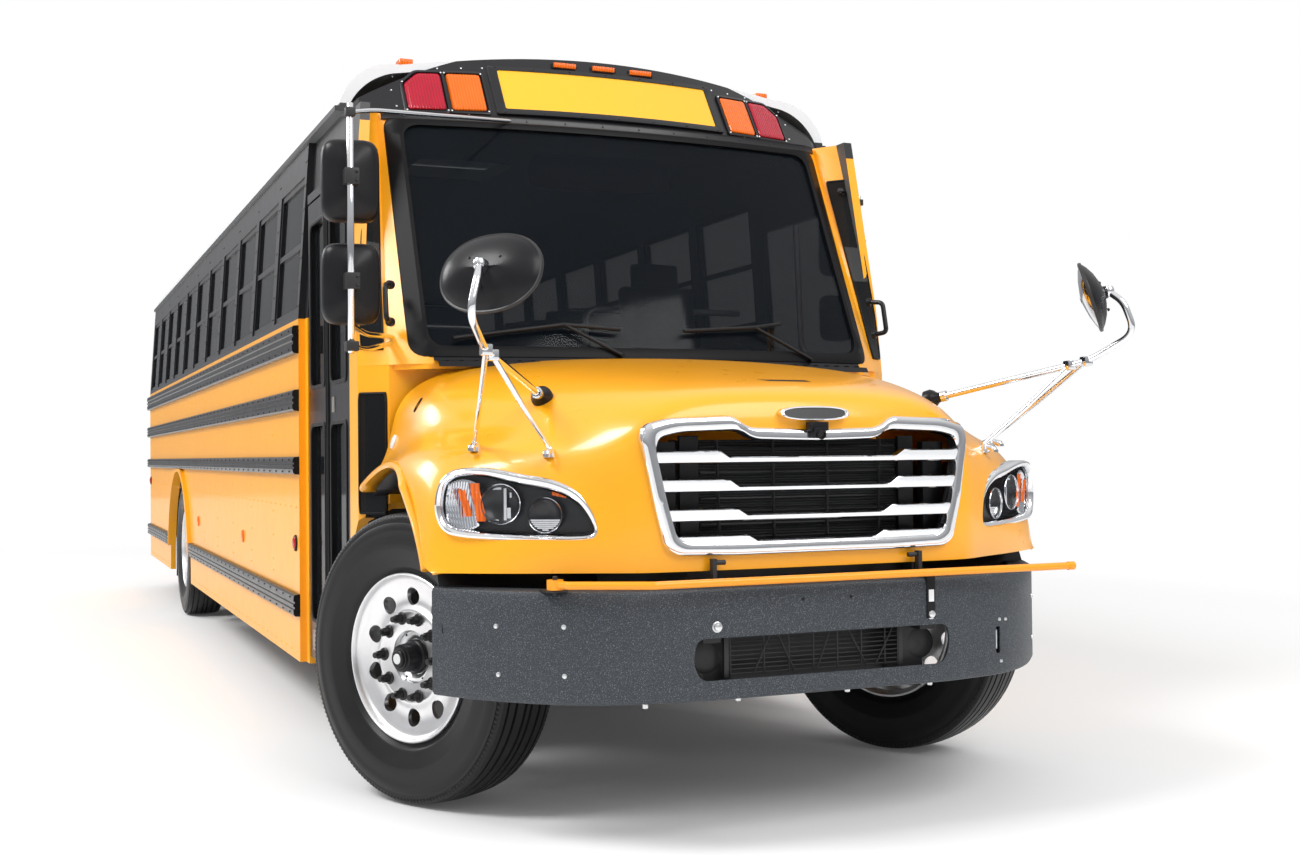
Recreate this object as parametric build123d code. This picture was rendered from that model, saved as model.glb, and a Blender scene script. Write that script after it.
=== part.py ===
"""School bus with a conventional hood: eleven side windows, one folding entrance door."""
from build123d import *
from functools import cache
from math import cos, radians, sin
import os

# Driving dimensions in mm. x runs forward from the front axle, y to the left, z up from the road.
# Body shell
bodyWidth = 2438
wheelBase = 7060
windowPitch = 762
windowCount = 11
sideFrontX = -1545          # front edge of the passenger side panels
rearPost = 45
wallThickness = 40
skirtZ = 310
floorZ = 1000
eaveLean = 54               # how far the wall leans in from sill to eave
roofRise = 300              # crown of the roof above the eaves
roofBendRise = 142
roofShoulderDrop = 82
sideRearX = sideFrontX - windowCount * windowPitch - rearPost
bodyHalf = bodyWidth / 2
engineX = (-270, 700)       # engine block, rear and front end

# Side windows and doors
windowWidth = 660
windowHeight = 640
windowBottom = 1915
windowHeader = 145          # wall above the side windows
sillZ = windowBottom - 30
eaveZ = windowBottom + windowHeight + windowHeader
roofTopZ = eaveZ + roofRise
sashWidth = 28
sashThickness = 26
glassThickness = 6
frameInset = 30             # the door frame lies this far inside the side panels
frontPostX = -400
doorFrontX = -550
doorRearX = -1475
doorHeader = 300
doorTopZ = eaveZ - doorHeader
doorBottomZ = 345
leafThickness = 40
leafGap = 6
leafRail = 62               # width of a leaf's frame round its glass
driverWindow = (-1430, -600, 1480, doorTopZ - 20)   # rear x, front x, bottom z, top z

# Windshield and cab front
screenBottomZ = 1600
screenTopZ = eaveZ - 28
screenCornerX = -188        # where the outer face meets its corner, at the bottom
screenCornerTopX = -693
screenBow = 95              # how far the middle stands ahead of the corners
screenHalf = 960
pillarHalf = 1088
screenThickness = 30
bulkheadX = -300

# Hood and grille
hoodBottomZ = 871
hoodThickness = 22
hoodSeamX = -270
hoodTiltX = 1100
hoodTiltZ = 900
hoodPin = 8
hoodEarY = 355             # middle of the hood's hinge ears
grilleX = 1062
grilleDepth = 34
grilleTopZ = 1348
grilleBottomZ = 924
grilleTopHalf = 602
grilleBottomHalf = 528

# Wheels and axles
tyreRadius = 525
frontTrackHalf = 1040
kingpinHalf = 930
steerAngle = 26.9           # the front wheels stand turned to the left
rearOuterY = 1062
rearInnerY = 728
runningGap = 0.05
archRadius = 795
archCentreZ = 350
wheelHouseRadius = 620

# Chassis
railHalf = 430
railWidth = 75
railBottomZ = 640
railTopZ = 880
railWeb = 10
frameFrontX = 1000
frameRearX = -9850

# Bumpers, arms and mirrors
bumperBottomZ = 472
bumperTopZ = 824
bumperThickness = 28
bumperFaceX = 1150
rearBumperDepth = 80
armRadius = 12.5
mirrorReach = 1395          # outermost point of the side mirrors
frontReach = 1310           # foremost point of the cross-view mirrors
rearReach = -(sideRearX - rearBumperDepth)
originShift = (rearReach - frontReach) / 2


def block(x0, x1, y0, y1, z0, z1):
    """Box from its low and high corners."""
    size = Box(abs(x1 - x0), abs(y1 - y0), abs(z1 - z0))
    return Pos((x0 + x1) / 2, (y0 + y1) / 2, (z0 + z1) / 2) * size


def rod(start, end, radius):
    """Round bar between two points."""
    along = Vector(*end) - Vector(*start)
    return extrude(Plane(origin=start, z_dir=along) * Circle(radius), along.length)


def tube(points, radius):
    """Round bars through a list of points, with a ball at each bend."""
    bar = rod(points[0], points[1], radius)
    for start, end in zip(points[1:], points[2:]):
        bar += rod(start, end, radius) + Pos(*start) * Sphere(radius)
    return bar


def alongX(outline, x0, x1):
    """Closed YZ outline swept from x0 to x1."""
    face = make_face(Polyline(*[(0, y, z) for y, z in outline], close=True))
    return Pos(x0, 0, 0) * extrude(face, x1 - x0, dir=(1, 0, 0))


def alongY(outline, y0, y1):
    """Closed XZ outline swept from y0 to y1."""
    face = make_face(Polyline(*[(x, 0, z) for x, z in outline], close=True))
    return Pos(0, y0, 0) * extrude(face, y1 - y0, dir=(0, 1, 0))


def alongZ(outline, z0, z1):
    """Closed XY outline swept from z0 to z1."""
    face = make_face(Polyline(*[(x, y, 0) for x, y in outline], close=True))
    return Pos(0, 0, z0) * extrude(face, z1 - z0, dir=(0, 0, 1))


def mirrored(shape):
    """The same shape on the other side of the bus."""
    return mirror(shape, Plane.XZ)


def bothSides(shape):
    """The shape and its mirror image, as separate solids."""
    return gather([shape, mirrored(shape)])


def gather(shapes):
    """Several separate solids as one compound."""
    return Compound([solid for shape in shapes for solid in shape.solids()])


def crossAxis(x, z, radius, y0, y1):
    """Cylinder about Y."""
    return rod((x, y0, z), (x, y1, z), radius)


# ---------- body shell
def wallY(z, inset=0):
    """Half-width of the body's outer face at a height."""
    lean = max(0, z - sillZ) / (eaveZ - sillZ) * eaveLean
    return bodyHalf - inset - lean


def wallStrip(x0, x1, z0, z1, outer, inner):
    """Left wall between two heights, between two insets from the outer face."""
    levels = [z0] + ([sillZ] if z0 < sillZ < z1 else []) + [z1]
    outline = [(wallY(z, outer), z) for z in levels] + [(wallY(z, inner), z) for z in reversed(levels)]
    return alongX(outline, x0, x1)


def windowPlane(x):
    """Plane on the left wall's outer face, centred on a side window, facing outwards."""
    middle = windowBottom + windowHeight / 2
    slope = Vector(0, eaveZ - sillZ, eaveLean)
    return Plane(origin=(x, wallY(middle), middle), x_dir=(-1, 0, 0), z_dir=slope)


def windowCentres():
    """Middle x of each side window, from the front."""
    return [sideFrontX - windowPitch * (place + 0.5) for place in range(windowCount)]


def windowCuts():
    """Openings of the left wall's windows."""
    return [extrude(windowPlane(x) * Rectangle(windowWidth, windowHeight), 2 * wallThickness, both=True)
            for x in windowCentres()]


def rearArch(radius, y0, y1):
    """Round wheel opening of the rear axle."""
    return crossAxis(-wheelBase, archCentreZ, radius, y0, y1)


def sideWall():
    """Left passenger wall with its windows, wheel arch and arch flare."""
    wall = wallStrip(sideRearX, sideFrontX, skirtZ, eaveZ, 0, wallThickness)
    wall -= rearArch(archRadius, bodyHalf - 200, bodyHalf + 200)
    for cut in windowCuts():
        wall -= cut
    flareOut = 26
    flareWidth = 50
    flare = rearArch(archRadius + flareWidth, bodyHalf, bodyHalf + flareOut)
    flare -= rearArch(archRadius, bodyHalf - 1, bodyHalf + flareOut + 1)
    flare &= block(-wheelBase - 2000, -wheelBase + 2000, bodyHalf, bodyHalf + flareOut, 517,
                   rubRailTable[2][0] - rubRailTable[2][1])
    return wall + flare


def frontFrame(cuts):
    """Left wall strip ahead of the passenger panels, down to the front wheel house."""
    frame = wallStrip(sideFrontX, frontPostX, skirtZ, eaveZ, frameInset, frameInset + wallThickness)
    frame -= crossAxis(0, tyreRadius, wheelHouseRadius, 0, bodyHalf + 100)
    backLean = [(frontPostX, screenBottomZ), (frontPostX - 160, eaveZ), (frontPostX, eaveZ)]
    frame -= alongY(backLean, 900, 1300)
    frame -= block(roofFrontX, 0, 900, 1300, screenTopZ, eaveZ + 1)
    for cut in cuts:
        frame -= cut
    return frame


@cache
def sideWallLeft():
    """Driver's side: passenger wall and the frame of the driver's window."""
    rear, front, bottom, top = driverWindow
    return sideWall() + frontFrame([block(rear, front, 1000, 1300, bottom, top)])


def sideWallRight():
    """Kerb side: passenger wall and the entrance's door frame."""
    doorway = block(doorRearX, doorFrontX, 1000, 1300, 0, doorTopZ)
    header = block(doorRearX, doorFrontX, wallY(doorTopZ, frameInset) - wallThickness, leafOuterY,
                   doorTopZ, doorTopZ + 40)
    wall = sideWall() + frontFrame([doorway]) + header
    for front in (True, False):
        wall += rod((*leafAxis(front), doorTopZ - 32), (*leafAxis(front), doorTopZ + 10), doorPin)
    return mirrored(wall)


def roofOutline(inset):
    """Outer or inner face of the roof bow, in the YZ plane."""
    eave = wallY(eaveZ, inset)
    shoulderY, shoulderZ = 900, roofTopZ - roofShoulderDrop - inset
    bendY, bendZ = wallY(eaveZ) - 67 - inset, eaveZ + roofBendRise - inset
    corner = ThreePointArc((0, eave, eaveZ), (0, bendY, bendZ), (0, shoulderY, shoulderZ))
    crown = ThreePointArc((0, shoulderY, shoulderZ), (0, 0, roofTopZ - inset), (0, -shoulderY, shoulderZ))
    return corner, crown, corner.mirror(Plane.XZ)


def roofSolid(inset, x0, x1, baseZ=eaveZ):
    """Solid under the roof bow, from the eaves up."""
    corner, crown, other = roofOutline(inset)
    eave = wallY(eaveZ, inset)
    base = Line((0, -eave, eaveZ), (0, eave, eaveZ))
    face = make_face([base, corner, crown, other])
    return Pos(x0, 0, 0) * extrude(face, x1 - x0, dir=(1, 0, 0))


roofSkin = 35
roofFrontX = -860
hatchSize = 620
hatchCentres = (-3250, -7400)
hatchCurb = 30
hatchCurbZ = roofTopZ + 32
hatchLid = 38
hatchGap = 6
hatchEarY = 200


def roofShell():
    """White roof with drip rails and the curbs of its two hatches."""
    roof = roofSolid(0, sideRearX, roofFrontX)
    drip = block(sideRearX, roofFrontX, wallY(eaveZ) - 10, wallY(eaveZ) + 14, eaveZ, eaveZ + 22)
    roof += drip + mirrored(drip)
    reach = hatchSize / 2
    for x in hatchCentres:
        roof += block(x - reach, x + reach, -reach, reach, roofTopZ - 60, hatchCurbZ)
        roof += hatchLugs(x)
    roof -= roofSolid(roofSkin, sideRearX - 1, roofFrontX + 1)
    inner = reach - hatchCurb
    for x in hatchCentres:
        roof -= block(x - inner, x + inner, -inner, inner, roofTopZ - 200, hatchCurbZ + 1)
    return roof


def hatchAxis(x):
    """Hinge line of a hatch lid, ahead of its curb: x and z."""
    return x + hatchSize / 2 + 32, hatchCurbZ + 14


def hatchLugs(x):
    """Pairs of lugs with pins that hold the hatch's ears."""
    axisX, axisZ = hatchAxis(x)
    lugs = Part()
    for side in (1, -1):
        for y in (hatchEarY - 24, hatchEarY + 24):
            lugs += block(axisX - 8, axisX + 8, side * (y - 4), side * (y + 4), roofTopZ - 20, axisZ + 8)
        lugs += crossAxis(axisX, axisZ, 6, side * (hatchEarY - 26), side * (hatchEarY + 26))
    return lugs


def roofHatch(x):
    """Lid that lies over a hatch curb, with two ears on the hinge pins at its front."""
    reach = hatchSize / 2 + 15
    low = hatchCurbZ + hatchGap
    lid = block(x - reach, x + reach, -reach, reach, low, low + hatchLid)
    lid = chamfer(lid.faces().sort_by(Axis.Z)[-1].edges(), 18)
    axisX, axisZ = hatchAxis(x)
    for side in (1, -1):
        lid += block(x + reach - 10, axisX + 8, side * (hatchEarY - 18), side * (hatchEarY + 18),
                     axisZ - 8, axisZ + 8)
    return lid - crossAxis(axisX, axisZ, 6 + runningGap, -reach, reach)


# ---------- cab front
def screenPlan(z, outer):
    """Corner points of the bowed windshield frame at a height: centre, corner, pillar, post."""
    share = (z - screenBottomZ) / (screenTopZ - screenBottomZ)
    corner = screenCornerX + (screenCornerTopX - screenCornerX) * share - outer
    pillar = (screenCornerX - 110 + (screenCornerTopX - screenCornerX + 70) * share - outer,
              pillarHalf - 60 * share)
    post = (frontPostX - 160 * share - outer, wallY(z, frameInset))
    return corner + screenBow, corner, pillar, post


def screenFace(z, inset, thickness):
    """Plan section of the cab front from one front post round to the other."""
    lines = []
    for depth in (inset, inset + thickness):
        centre, corner, pillar, post = screenPlan(z, depth)
        half = [(post[0], post[1], z), (pillar[0], pillar[1], z), (corner, screenHalf, z)]
        other = [(x, -y, level) for x, y, level in reversed(half)]
        lines.append((Polyline(*half), ThreePointArc(half[2], (centre, 0, z), other[0]),
                      Polyline(*other), half[0], other[-1]))
    outer, inner = lines
    ends = [Line(outer[3], inner[3]), Line(outer[4], inner[4])]
    return make_face([*outer[:3], *inner[:3], *ends])


def screenShell(z0, z1, inset, thickness):
    """Bowed, sloping wall between two heights."""
    return loft([screenFace(z0, inset, thickness), screenFace(z1, inset, thickness)], ruled=True)


def screenOpening(margin):
    """Windshield opening, seen from ahead: corners (half-width, height)."""
    half = screenHalf - margin
    low, high = screenBottomZ + 50 + margin, screenTopZ - 34 - margin
    outline = [(-half, low), (half, low), (half, high), (-half, high)]
    return alongX(outline, -1200, 200)


engineBay = 440             # half-width of the opening over the frame and engine
lightInnerY = 1100
lightOuterY = 1165
lowerLightZ = (1010, 1490)
quarterZ = (screenBottomZ + 60, screenTopZ - 232)


@cache
def cowl():
    """Cab front: lower bulkhead, shelf under the windshield, windshield frame and corner posts."""
    wall = screenShell(screenBottomZ, screenTopZ, 0, screenThickness) - screenOpening(0)
    bulkhead = [(frontPostX, wallY(screenBottomZ, frameInset)), (bulkheadX, pillarHalf),
                (bulkheadX, -pillarHalf), (frontPostX, -wallY(screenBottomZ, frameInset)),
                (frontPostX - wallThickness, -wallY(screenBottomZ, frameInset)),
                (bulkheadX - wallThickness, -pillarHalf + 20), (bulkheadX - wallThickness,
                                                                pillarHalf - 20),
                (frontPostX - wallThickness, wallY(screenBottomZ, frameInset))]
    lower = alongZ(bulkhead, 870, screenBottomZ)
    shelf = loft([screenShelf(screenBottomZ - 20), screenShelf(screenBottomZ)], ruled=True)
    body = wall + lower + shelf
    body -= crossAxis(0, tyreRadius, wheelHouseRadius, 500, 1300)
    body -= crossAxis(0, tyreRadius, wheelHouseRadius, -1300, -500)
    for z0, z1 in (lowerLightZ, quarterZ):
        for side in (1, -1):
            body -= block(-900, 200, side * lightInnerY, side * lightOuterY, z0, z1)
    body -= block(-900, 300, -engineBay, engineBay, 870, 1190)
    return body - frontFrame([]) - mirrored(frontFrame([]))


def screenShelf(z):
    """Plan of the shelf that closes the gap between bulkhead and windshield foot."""
    centre, corner, pillar, post = screenPlan(screenBottomZ, 0)
    half = [(bulkheadX - wallThickness, 1000, z), (pillar[0], pillar[1] - 20, z), (corner, screenHalf, z)]
    other = [(x, -y, level) for x, y, level in reversed(half)]
    arc = ThreePointArc(half[2], (centre, 0, z), other[0])
    return make_face([Polyline(*half), arc, Polyline(*other), Line(other[-1], half[0])])


def windshield():
    """One bowed pane with a margin inside its frame, and the lights of the cab corners."""
    pane = screenShell(screenBottomZ, screenTopZ, 8, glassThickness) & screenOpening(0)
    shell = screenShell(screenBottomZ, screenTopZ, 8, glassThickness)
    lights = []
    for side in (1, -1):
        light = shell & block(-900, 200, side * lightInnerY, side * lightOuterY, *quarterZ)
        lights.append(light - frontFrame([]) - mirrored(frontFrame([])))
    post = (frontPostX, wallY(screenBottomZ, frameInset))
    corner = (bulkheadX, pillarHalf)
    strip = alongZ([shifted(post, -8), shifted(corner, -8), shifted(corner, -14), shifted(post, -14)],
                   *lowerLightZ)
    strip = (strip & block(-900, 200, lightInnerY, lightOuterY, *lowerLightZ)) - frontFrame([])
    return gather([pane, *lights, strip, mirrored(strip)])


def shifted(point, dx):
    """Plan point moved along x."""
    return (point[0] + dx, point[1])


capFaceX = -598             # foot of the cap's sloping face on the centreline
capBow = 202                # how far the face falls back at its corners
capCornerY = 1080
capLean = 225               # how far the face leans back up to the crown
capShell = 30


def capPlan(z, x):
    """Plan of the cap: a bowed front with its middle at x, closed far behind."""
    arc = ThreePointArc((x - capBow, capCornerY, z), (x, 0, z), (x - capBow, -capCornerY, z))
    back = Polyline((x - capBow, -capCornerY, z), (x - 420, -1400, z), (x - 420, 1400, z),
                    (x - capBow, capCornerY, z))
    return make_face([arc, back])


@cache
def capSolid(inset):
    """Volume of the roof cap behind its sloping face, inside the roof's section."""
    front = capFaceX - inset
    wedge = loft([capPlan(screenTopZ, front), capPlan(roofTopZ + 10, front - capLean)], ruled=True)
    section = roofSolid(inset, roofFrontX - (1 if inset else 0), -400)
    strip = wallStrip(roofFrontX - (1 if inset else 0), -400, screenTopZ - (1 if inset else 0), eaveZ,
                      inset, bodyHalf)
    return wedge & (section + strip + mirrored(strip))


@cache
def frontCap():
    """Black front roof cap that carries the warning lamps and the blank sign."""
    return capSolid(0) - capSolid(capShell) + signPanel()


signHalf = 480
signZ = (eaveZ + 16, roofTopZ - 78)


def capFace(z, y=0):
    """x of the cap's sloping face at a point."""
    share = (z - screenTopZ) / (roofTopZ + 10 - screenTopZ)
    return capFaceX - capLean * share - capBow * (y / capCornerY) ** 2


def signPanel():
    """Blank sign plate on the cap's face."""
    low, high = signZ
    plate = loft([capPlan(low, capFace(low) + 8), capPlan(high, capFace(high) + 8)], ruled=True)
    return plate & block(roofFrontX, 0, -signHalf, signHalf, low, high)


# ---------- side glass and rails
def sideGlass():
    """Panes of the side windows, two to a window, with the driver's and rear windows."""
    panes = []
    for x in windowCentres():
        place = windowPlane(x).offset(-(wallThickness + glassThickness) / 2)
        for centre, width, height in windowLights():
            pane = extrude(place * Pos(0, centre) * Rectangle(width, height), glassThickness)
            panes += [pane, mirrored(pane)]
    rear, front, bottom, top = driverWindow
    panes.append(wallStrip(rear, front, bottom, top, frameInset + 17, frameInset + 17 + glassThickness))
    panes += [rearPane(side) for side in (1, -1)]
    return gather(panes)


def windowLights():
    """Centre height, width and height of a side window's upper and lower glass."""
    width = windowWidth - 2 * sashWidth
    height = (windowHeight - 3 * sashWidth) / 2
    return [(side * (height + sashWidth) / 2, width, height) for side in (-1, 1)]


def windowSashes():
    """Dark frames of the side windows with a middle rail."""
    frames = []
    for x in windowCentres():
        place = windowPlane(x).offset(-(wallThickness + sashThickness) / 2)
        frame = extrude(place * Rectangle(windowWidth, windowHeight), sashThickness)
        for centre, width, height in windowLights():
            frame -= extrude(place * Pos(0, centre) * Rectangle(width, height), sashThickness)
        frames += [frame, mirrored(frame)]
    return gather(frames)


railOut = 30
# Rub rails: top z, height, front x. All but the skirt rail run to the rear.
rubRailTable = [(1855, 130, sideFrontX), (1560, 100, sideFrontX), (1251, 83, sideFrontX)]
skirtRail = (620, 103)


def rubRails():
    """Black rails along both sides, the lowest stopping at the rear arch."""
    rails = []
    for top, height, front in rubRailTable:
        rails.append(block(sideRearX, front, bodyHalf, bodyHalf + railOut, top - height, top))
    top, height = skirtRail
    archHalf = archRadius + 60
    for x0, x1 in ((-wheelBase + archHalf, sideFrontX), (sideRearX, -wheelBase - archHalf)):
        rails.append(block(x0, x1, bodyHalf, bodyHalf + railOut, top - height, top))
    return gather([shape for rail in rails for shape in (rail, mirrored(rail))])


# ---------- rear
rearWall = 40
rearWallZ = 480             # foot of the rear panel
rearDoor = (410, floorZ, doorTopZ)     # half-width, bottom z, top z
rearWindow = (560, 1080, windowBottom + 45, eaveZ - 220)   # inner y, outer y, bottom z, top z
doorGap = 10


def rearWallPanel():
    """Rear panel with the doorway and a fixed window each side."""
    wall = alongX([(bodyHalf - wallThickness, rearWallZ), (wallY(sillZ) - wallThickness, sillZ),
                   (wallY(eaveZ) - wallThickness, eaveZ), (-wallY(eaveZ) + wallThickness, eaveZ),
                   (-wallY(sillZ) + wallThickness, sillZ), (-bodyHalf + wallThickness, rearWallZ)],
                  sideRearX, sideRearX + rearWall)
    wall += roofSolid(roofSkin, sideRearX, sideRearX + rearWall)
    half, bottom, top = rearDoor
    wall -= block(sideRearX - 1, sideRearX + rearWall + 1, -half, half, bottom, top)
    inner, outer, low, high = rearWindow
    for side in (1, -1):
        wall -= block(sideRearX - 1, sideRearX + rearWall + 1, side * inner, side * outer, low, high)
    return wall + rod((*rearDoorAxis(), top - 30), (*rearDoorAxis(), top + 10), doorPin)


def rearDoorAxis():
    """Plan position of the emergency door's hinge."""
    return sideRearX + hingeInset, -rearDoor[0] + doorGap + hingeInset


def rearPane(side):
    """Fixed glass of a rear window."""
    inner, outer, low, high = rearWindow
    middle = sideRearX + rearWall / 2
    return block(middle, middle + glassThickness, side * inner, side * outer, low, high)


rearDoorGlass = (300, 1560, doorTopZ - 100)
rearLowerGlass = (300, 1130, 1440)


def rearDoorLeaf():
    """Emergency door that fills the rear doorway, with a handle."""
    half, bottom, top = rearDoor
    leaf = block(sideRearX, sideRearX + rearWall, -half + doorGap, half - doorGap, bottom + doorGap,
                 top - doorGap)
    for wide, low, high in (rearDoorGlass, rearLowerGlass):
        leaf -= block(sideRearX - 1, sideRearX + rearWall + 1, -wide, wide, low, high)
    leaf += block(sideRearX - 30, sideRearX, half - 90, half - 50, 1470, 1530)
    return leaf - rod((*rearDoorAxis(), top - 34), (*rearDoorAxis(), top), doorPin + runningGap)


def rearDoorPanes():
    """Glass of the emergency door."""
    middle = sideRearX + rearWall / 2
    return gather([block(middle, middle + glassThickness, -wide, wide, low, high)
                   for wide, low, high in (rearDoorGlass, rearLowerGlass)])


towEye = (-9700, 60, 25, 25)      # x, half-width of the plate, bore radius, thickness


def rearBumper():
    """Black bumper bar across the rear."""
    bar = block(sideRearX - rearBumperDepth, sideRearX, -1180, 1180, 480, 740)
    return chamfer(bar.edges().filter_by(Axis.Z), 30)


# ---------- chassis
crossCount = 11
crossFrontX = -420          # the engine fills the bay ahead of the first cross member
crossBottomZ = railTopZ - 70


def chassisFrame():
    """Two channel rails with cross members, bumper brackets and rear tow ears."""
    rail = block(frameRearX, frameFrontX, railHalf - railWidth, railHalf, railBottomZ, railTopZ)
    web = railWeb
    rail -= block(frameRearX - 1, frameFrontX + 1, railHalf - railWidth - 1, railHalf - web,
                  railBottomZ + web, railTopZ - web)
    frame = rail + mirrored(rail)
    span = (crossFrontX - frameRearX - 60) / (crossCount - 1)
    crossPlaces = [frameRearX + 60 + place * span for place in range(crossCount)] + [frameFrontX - 100]
    for x in crossPlaces:
        frame += block(x - 40, x + 40, -railHalf + web, railHalf - web, crossBottomZ, railTopZ - web)
    horn = block(frameFrontX - 70, bumperFaceX - bumperThickness,
                 railHalf - 60, railHalf, railBottomZ + 10, bumperTopZ - 20)
    lug = block(hoodTiltX - hoodPin - 4, hoodTiltX + hoodPin + 4,
                hoodEarY + 20, hoodEarY + 34, bumperTopZ - 40, hoodTiltZ + hoodPin + 4)
    lug += crossAxis(hoodTiltX, hoodTiltZ, hoodPin, hoodEarY - 14, hoodEarY + 30)
    horn += lug
    frame += horn + mirrored(horn)
    x, reach, bore, thickness = towEye
    ear = block(x - reach, x + reach, railHalf - 30, railHalf + 2 * reach, railBottomZ - thickness,
                railBottomZ)
    hole = rod((x, railHalf + reach, railBottomZ - 100), (x, railHalf + reach, railBottomZ + 10), bore)
    ear -= hole
    return frame + ear + mirrored(ear)


outriggerPitch = 762


def bodyFloor():
    """Floor with cross sills, wheel houses over the rear tyres and the entrance step well."""
    inner = bodyHalf - wallThickness
    narrow = inner - frameInset - 10
    plate = block(sideFrontX, frontPostX - wallThickness - 5, -narrow, narrow, 960, floorZ)
    plate += block(sideRearX + rearWall, sideFrontX, -inner, inner, 960, floorZ)
    for place in range(windowCount):
        x = sideFrontX - 60 - place * outriggerPitch
        if abs(x + wheelBase) > archRadius + 60:
            plate += block(x - 30, x + 30, -inner, inner, railTopZ, 960)
    for side in (1, -1):
        house = block(-wheelBase - 700, -wheelBase + 700, side * 545, side * inner, 940, 1190)
        plate += house
    for side in (1, -1):
        plate -= crossAxis(-wheelBase, tyreRadius, 640, side * 575, side * (inner + 1))
    plate -= block(doorRearX, wellFrontX, -inner - 1, -stepEdges[-1][1], 900, floorZ + 1)
    plate -= crossAxis(0, tyreRadius, wheelHouseRadius, -1300, -500)
    plate -= crossAxis(0, tyreRadius, wheelHouseRadius, 500, 1300)
    return plate + stepWell()


# Entrance steps: tread z, inner edge |y| of the tread
stepEdges = [(360, 880), (575, 675), (790, 475)]
stepPlate = 25
wellFrontX = -620


def stepWell():
    """Three treads with risers between two side plates, hung under the floor."""
    outerY = bodyHalf - frameInset - wallThickness - 12
    innerY = stepEdges[-1][1] - stepPlate
    low = stepEdges[0][0] - stepPlate
    well = block(doorRearX - stepPlate, doorRearX, -outerY, -innerY, low, 960)
    well += block(wellFrontX - stepPlate, wellFrontX, -outerY, -innerY, low, floorZ)
    start = outerY
    for place, (tread, edge) in enumerate(stepEdges):
        above = stepEdges[place + 1][0] if place + 1 < len(stepEdges) else floorZ
        well += block(doorRearX, wellFrontX - stepPlate, -start, -edge, tread - stepPlate, tread)
        well += block(doorRearX, wellFrontX - stepPlate, -edge, -edge + stepPlate, tread - stepPlate,
                      above)
        start = edge
    return well


def engineBlock():
    """Engine and gearbox as one plain mass between the rails, on two cross feet."""
    engine = block(*engineX, -300, 300, 620, 1180)
    seat = railHalf - railWeb
    for x in (engineX[0] + 80, engineX[1] - 300):
        engine += block(x, x + 80, -seat, seat, railBottomZ + 60, railBottomZ + 120)
    return engine


def radiatorPack():
    """Cooler stack behind the grille with its fan shroud, standing on the rails."""
    core = block(860, 960, -railHalf, railHalf, railTopZ, 1290)
    shroud = block(790, 860, -360, 360, railTopZ + 20, 1260) - rod((700, 0, 1060), (861, 0, 1060), 190)
    return core + shroud


def springPack(x, z, reach, hangerZ):
    """Leaf spring from hanger to hanger along one rail."""
    leaves = alongY([(x - reach, hangerZ), (x - 90, z), (x + 90, z), (x + reach, hangerZ),
                     (x + reach, hangerZ - 18), (x + 150, z - 50), (x - 150, z - 50), (x - reach,
                                                                                       hangerZ - 18)],
                    railHalf + 8, railHalf + 82)
    for end in (x - reach, x + reach):
        leaves += block(end - 35, end + 35, railHalf, railHalf + 90, hangerZ - 30, hangerZ + 110)
    return leaves


def frontAxle():
    """Dropped beam with kingpin eyes, carried by two leaf springs."""
    half = [(600, 360), (kingpinHalf - 120, 480), (kingpinHalf - 40, 480),
            (kingpinHalf - 40, 570), (kingpinHalf - 120, 570), (600, 450)]
    beam = alongX([(-600, 360), *half, (-600, 450)], -55, 55)
    beam += mirrored(alongX([(-600, 360), *half, (-600, 450)], -55, 55))
    axle = beam
    for side in (1, -1):
        eye = rod((0, side * kingpinHalf, 480), (0, side * kingpinHalf, 570), 62)
        axle += eye
    for side in (1, -1):
        axle -= rod((0, side * kingpinHalf, 400), (0, side * kingpinHalf, 600), kingpinRadius + runningGap)
    pads = block(-90, 90, railHalf + 8, railHalf + 82, 449, 500)
    spring = springPack(0, 548, 560, 590) + pads
    return axle + spring + mirrored(spring)


kingpinRadius = 22
spindleRadius = 38


def knuckle(side):
    """Steering knuckle: yoke and kingpin about the axle eye, with the wheel spindle."""
    yoke = block(-55, 55, -60, 60, 400, 478) + block(-55, 55, -60, 60, 572, 640)
    pin = rod((0, 0, 440), (0, 0, 600), kingpinRadius)
    web = block(-55, 55, 65, 85, 400, 640)
    web += block(-55, 55, 55, 66, 400, 478) + block(-55, 55, 55, 66, 572, 640)
    spindle = rod((0, 84, tyreRadius), (0, 84 + 170, tyreRadius), spindleRadius)
    steerLever = block(-230, 0, -50, 40, 640, 662)
    shape = yoke + pin + web + spindle + steerLever
    if side < 0:
        shape = mirrored(shape)
    return Pos(0, side * kingpinHalf, 0) * Rot(0, 0, steerAngle) * shape


# ---------- wheels
# Tyre half-section: distance from the mid-plane, radius
tyreProfile = [(94, 290), (94.5, 306), (126, 345), (140, 410), (138, 470), (118, 513), (60, tyreRadius)]


def tyre(y):
    """Tyre about the Y axis at the origin."""
    points = tyreProfile + [(-w, r) for w, r in reversed(tyreProfile)]
    face = make_face(Polyline(*[(0, w, r) for w, r in points], close=True))
    return Pos(0, y, 0) * revolve(face, Axis.Y)


handHoles = 10
handRadius = 26
handCircle = 212
studCircle = 285.75 / 2
studCount = 10
nutRadius = 16
rimLip = 304
rimBead = 285
beadSeat = 289.5


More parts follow.
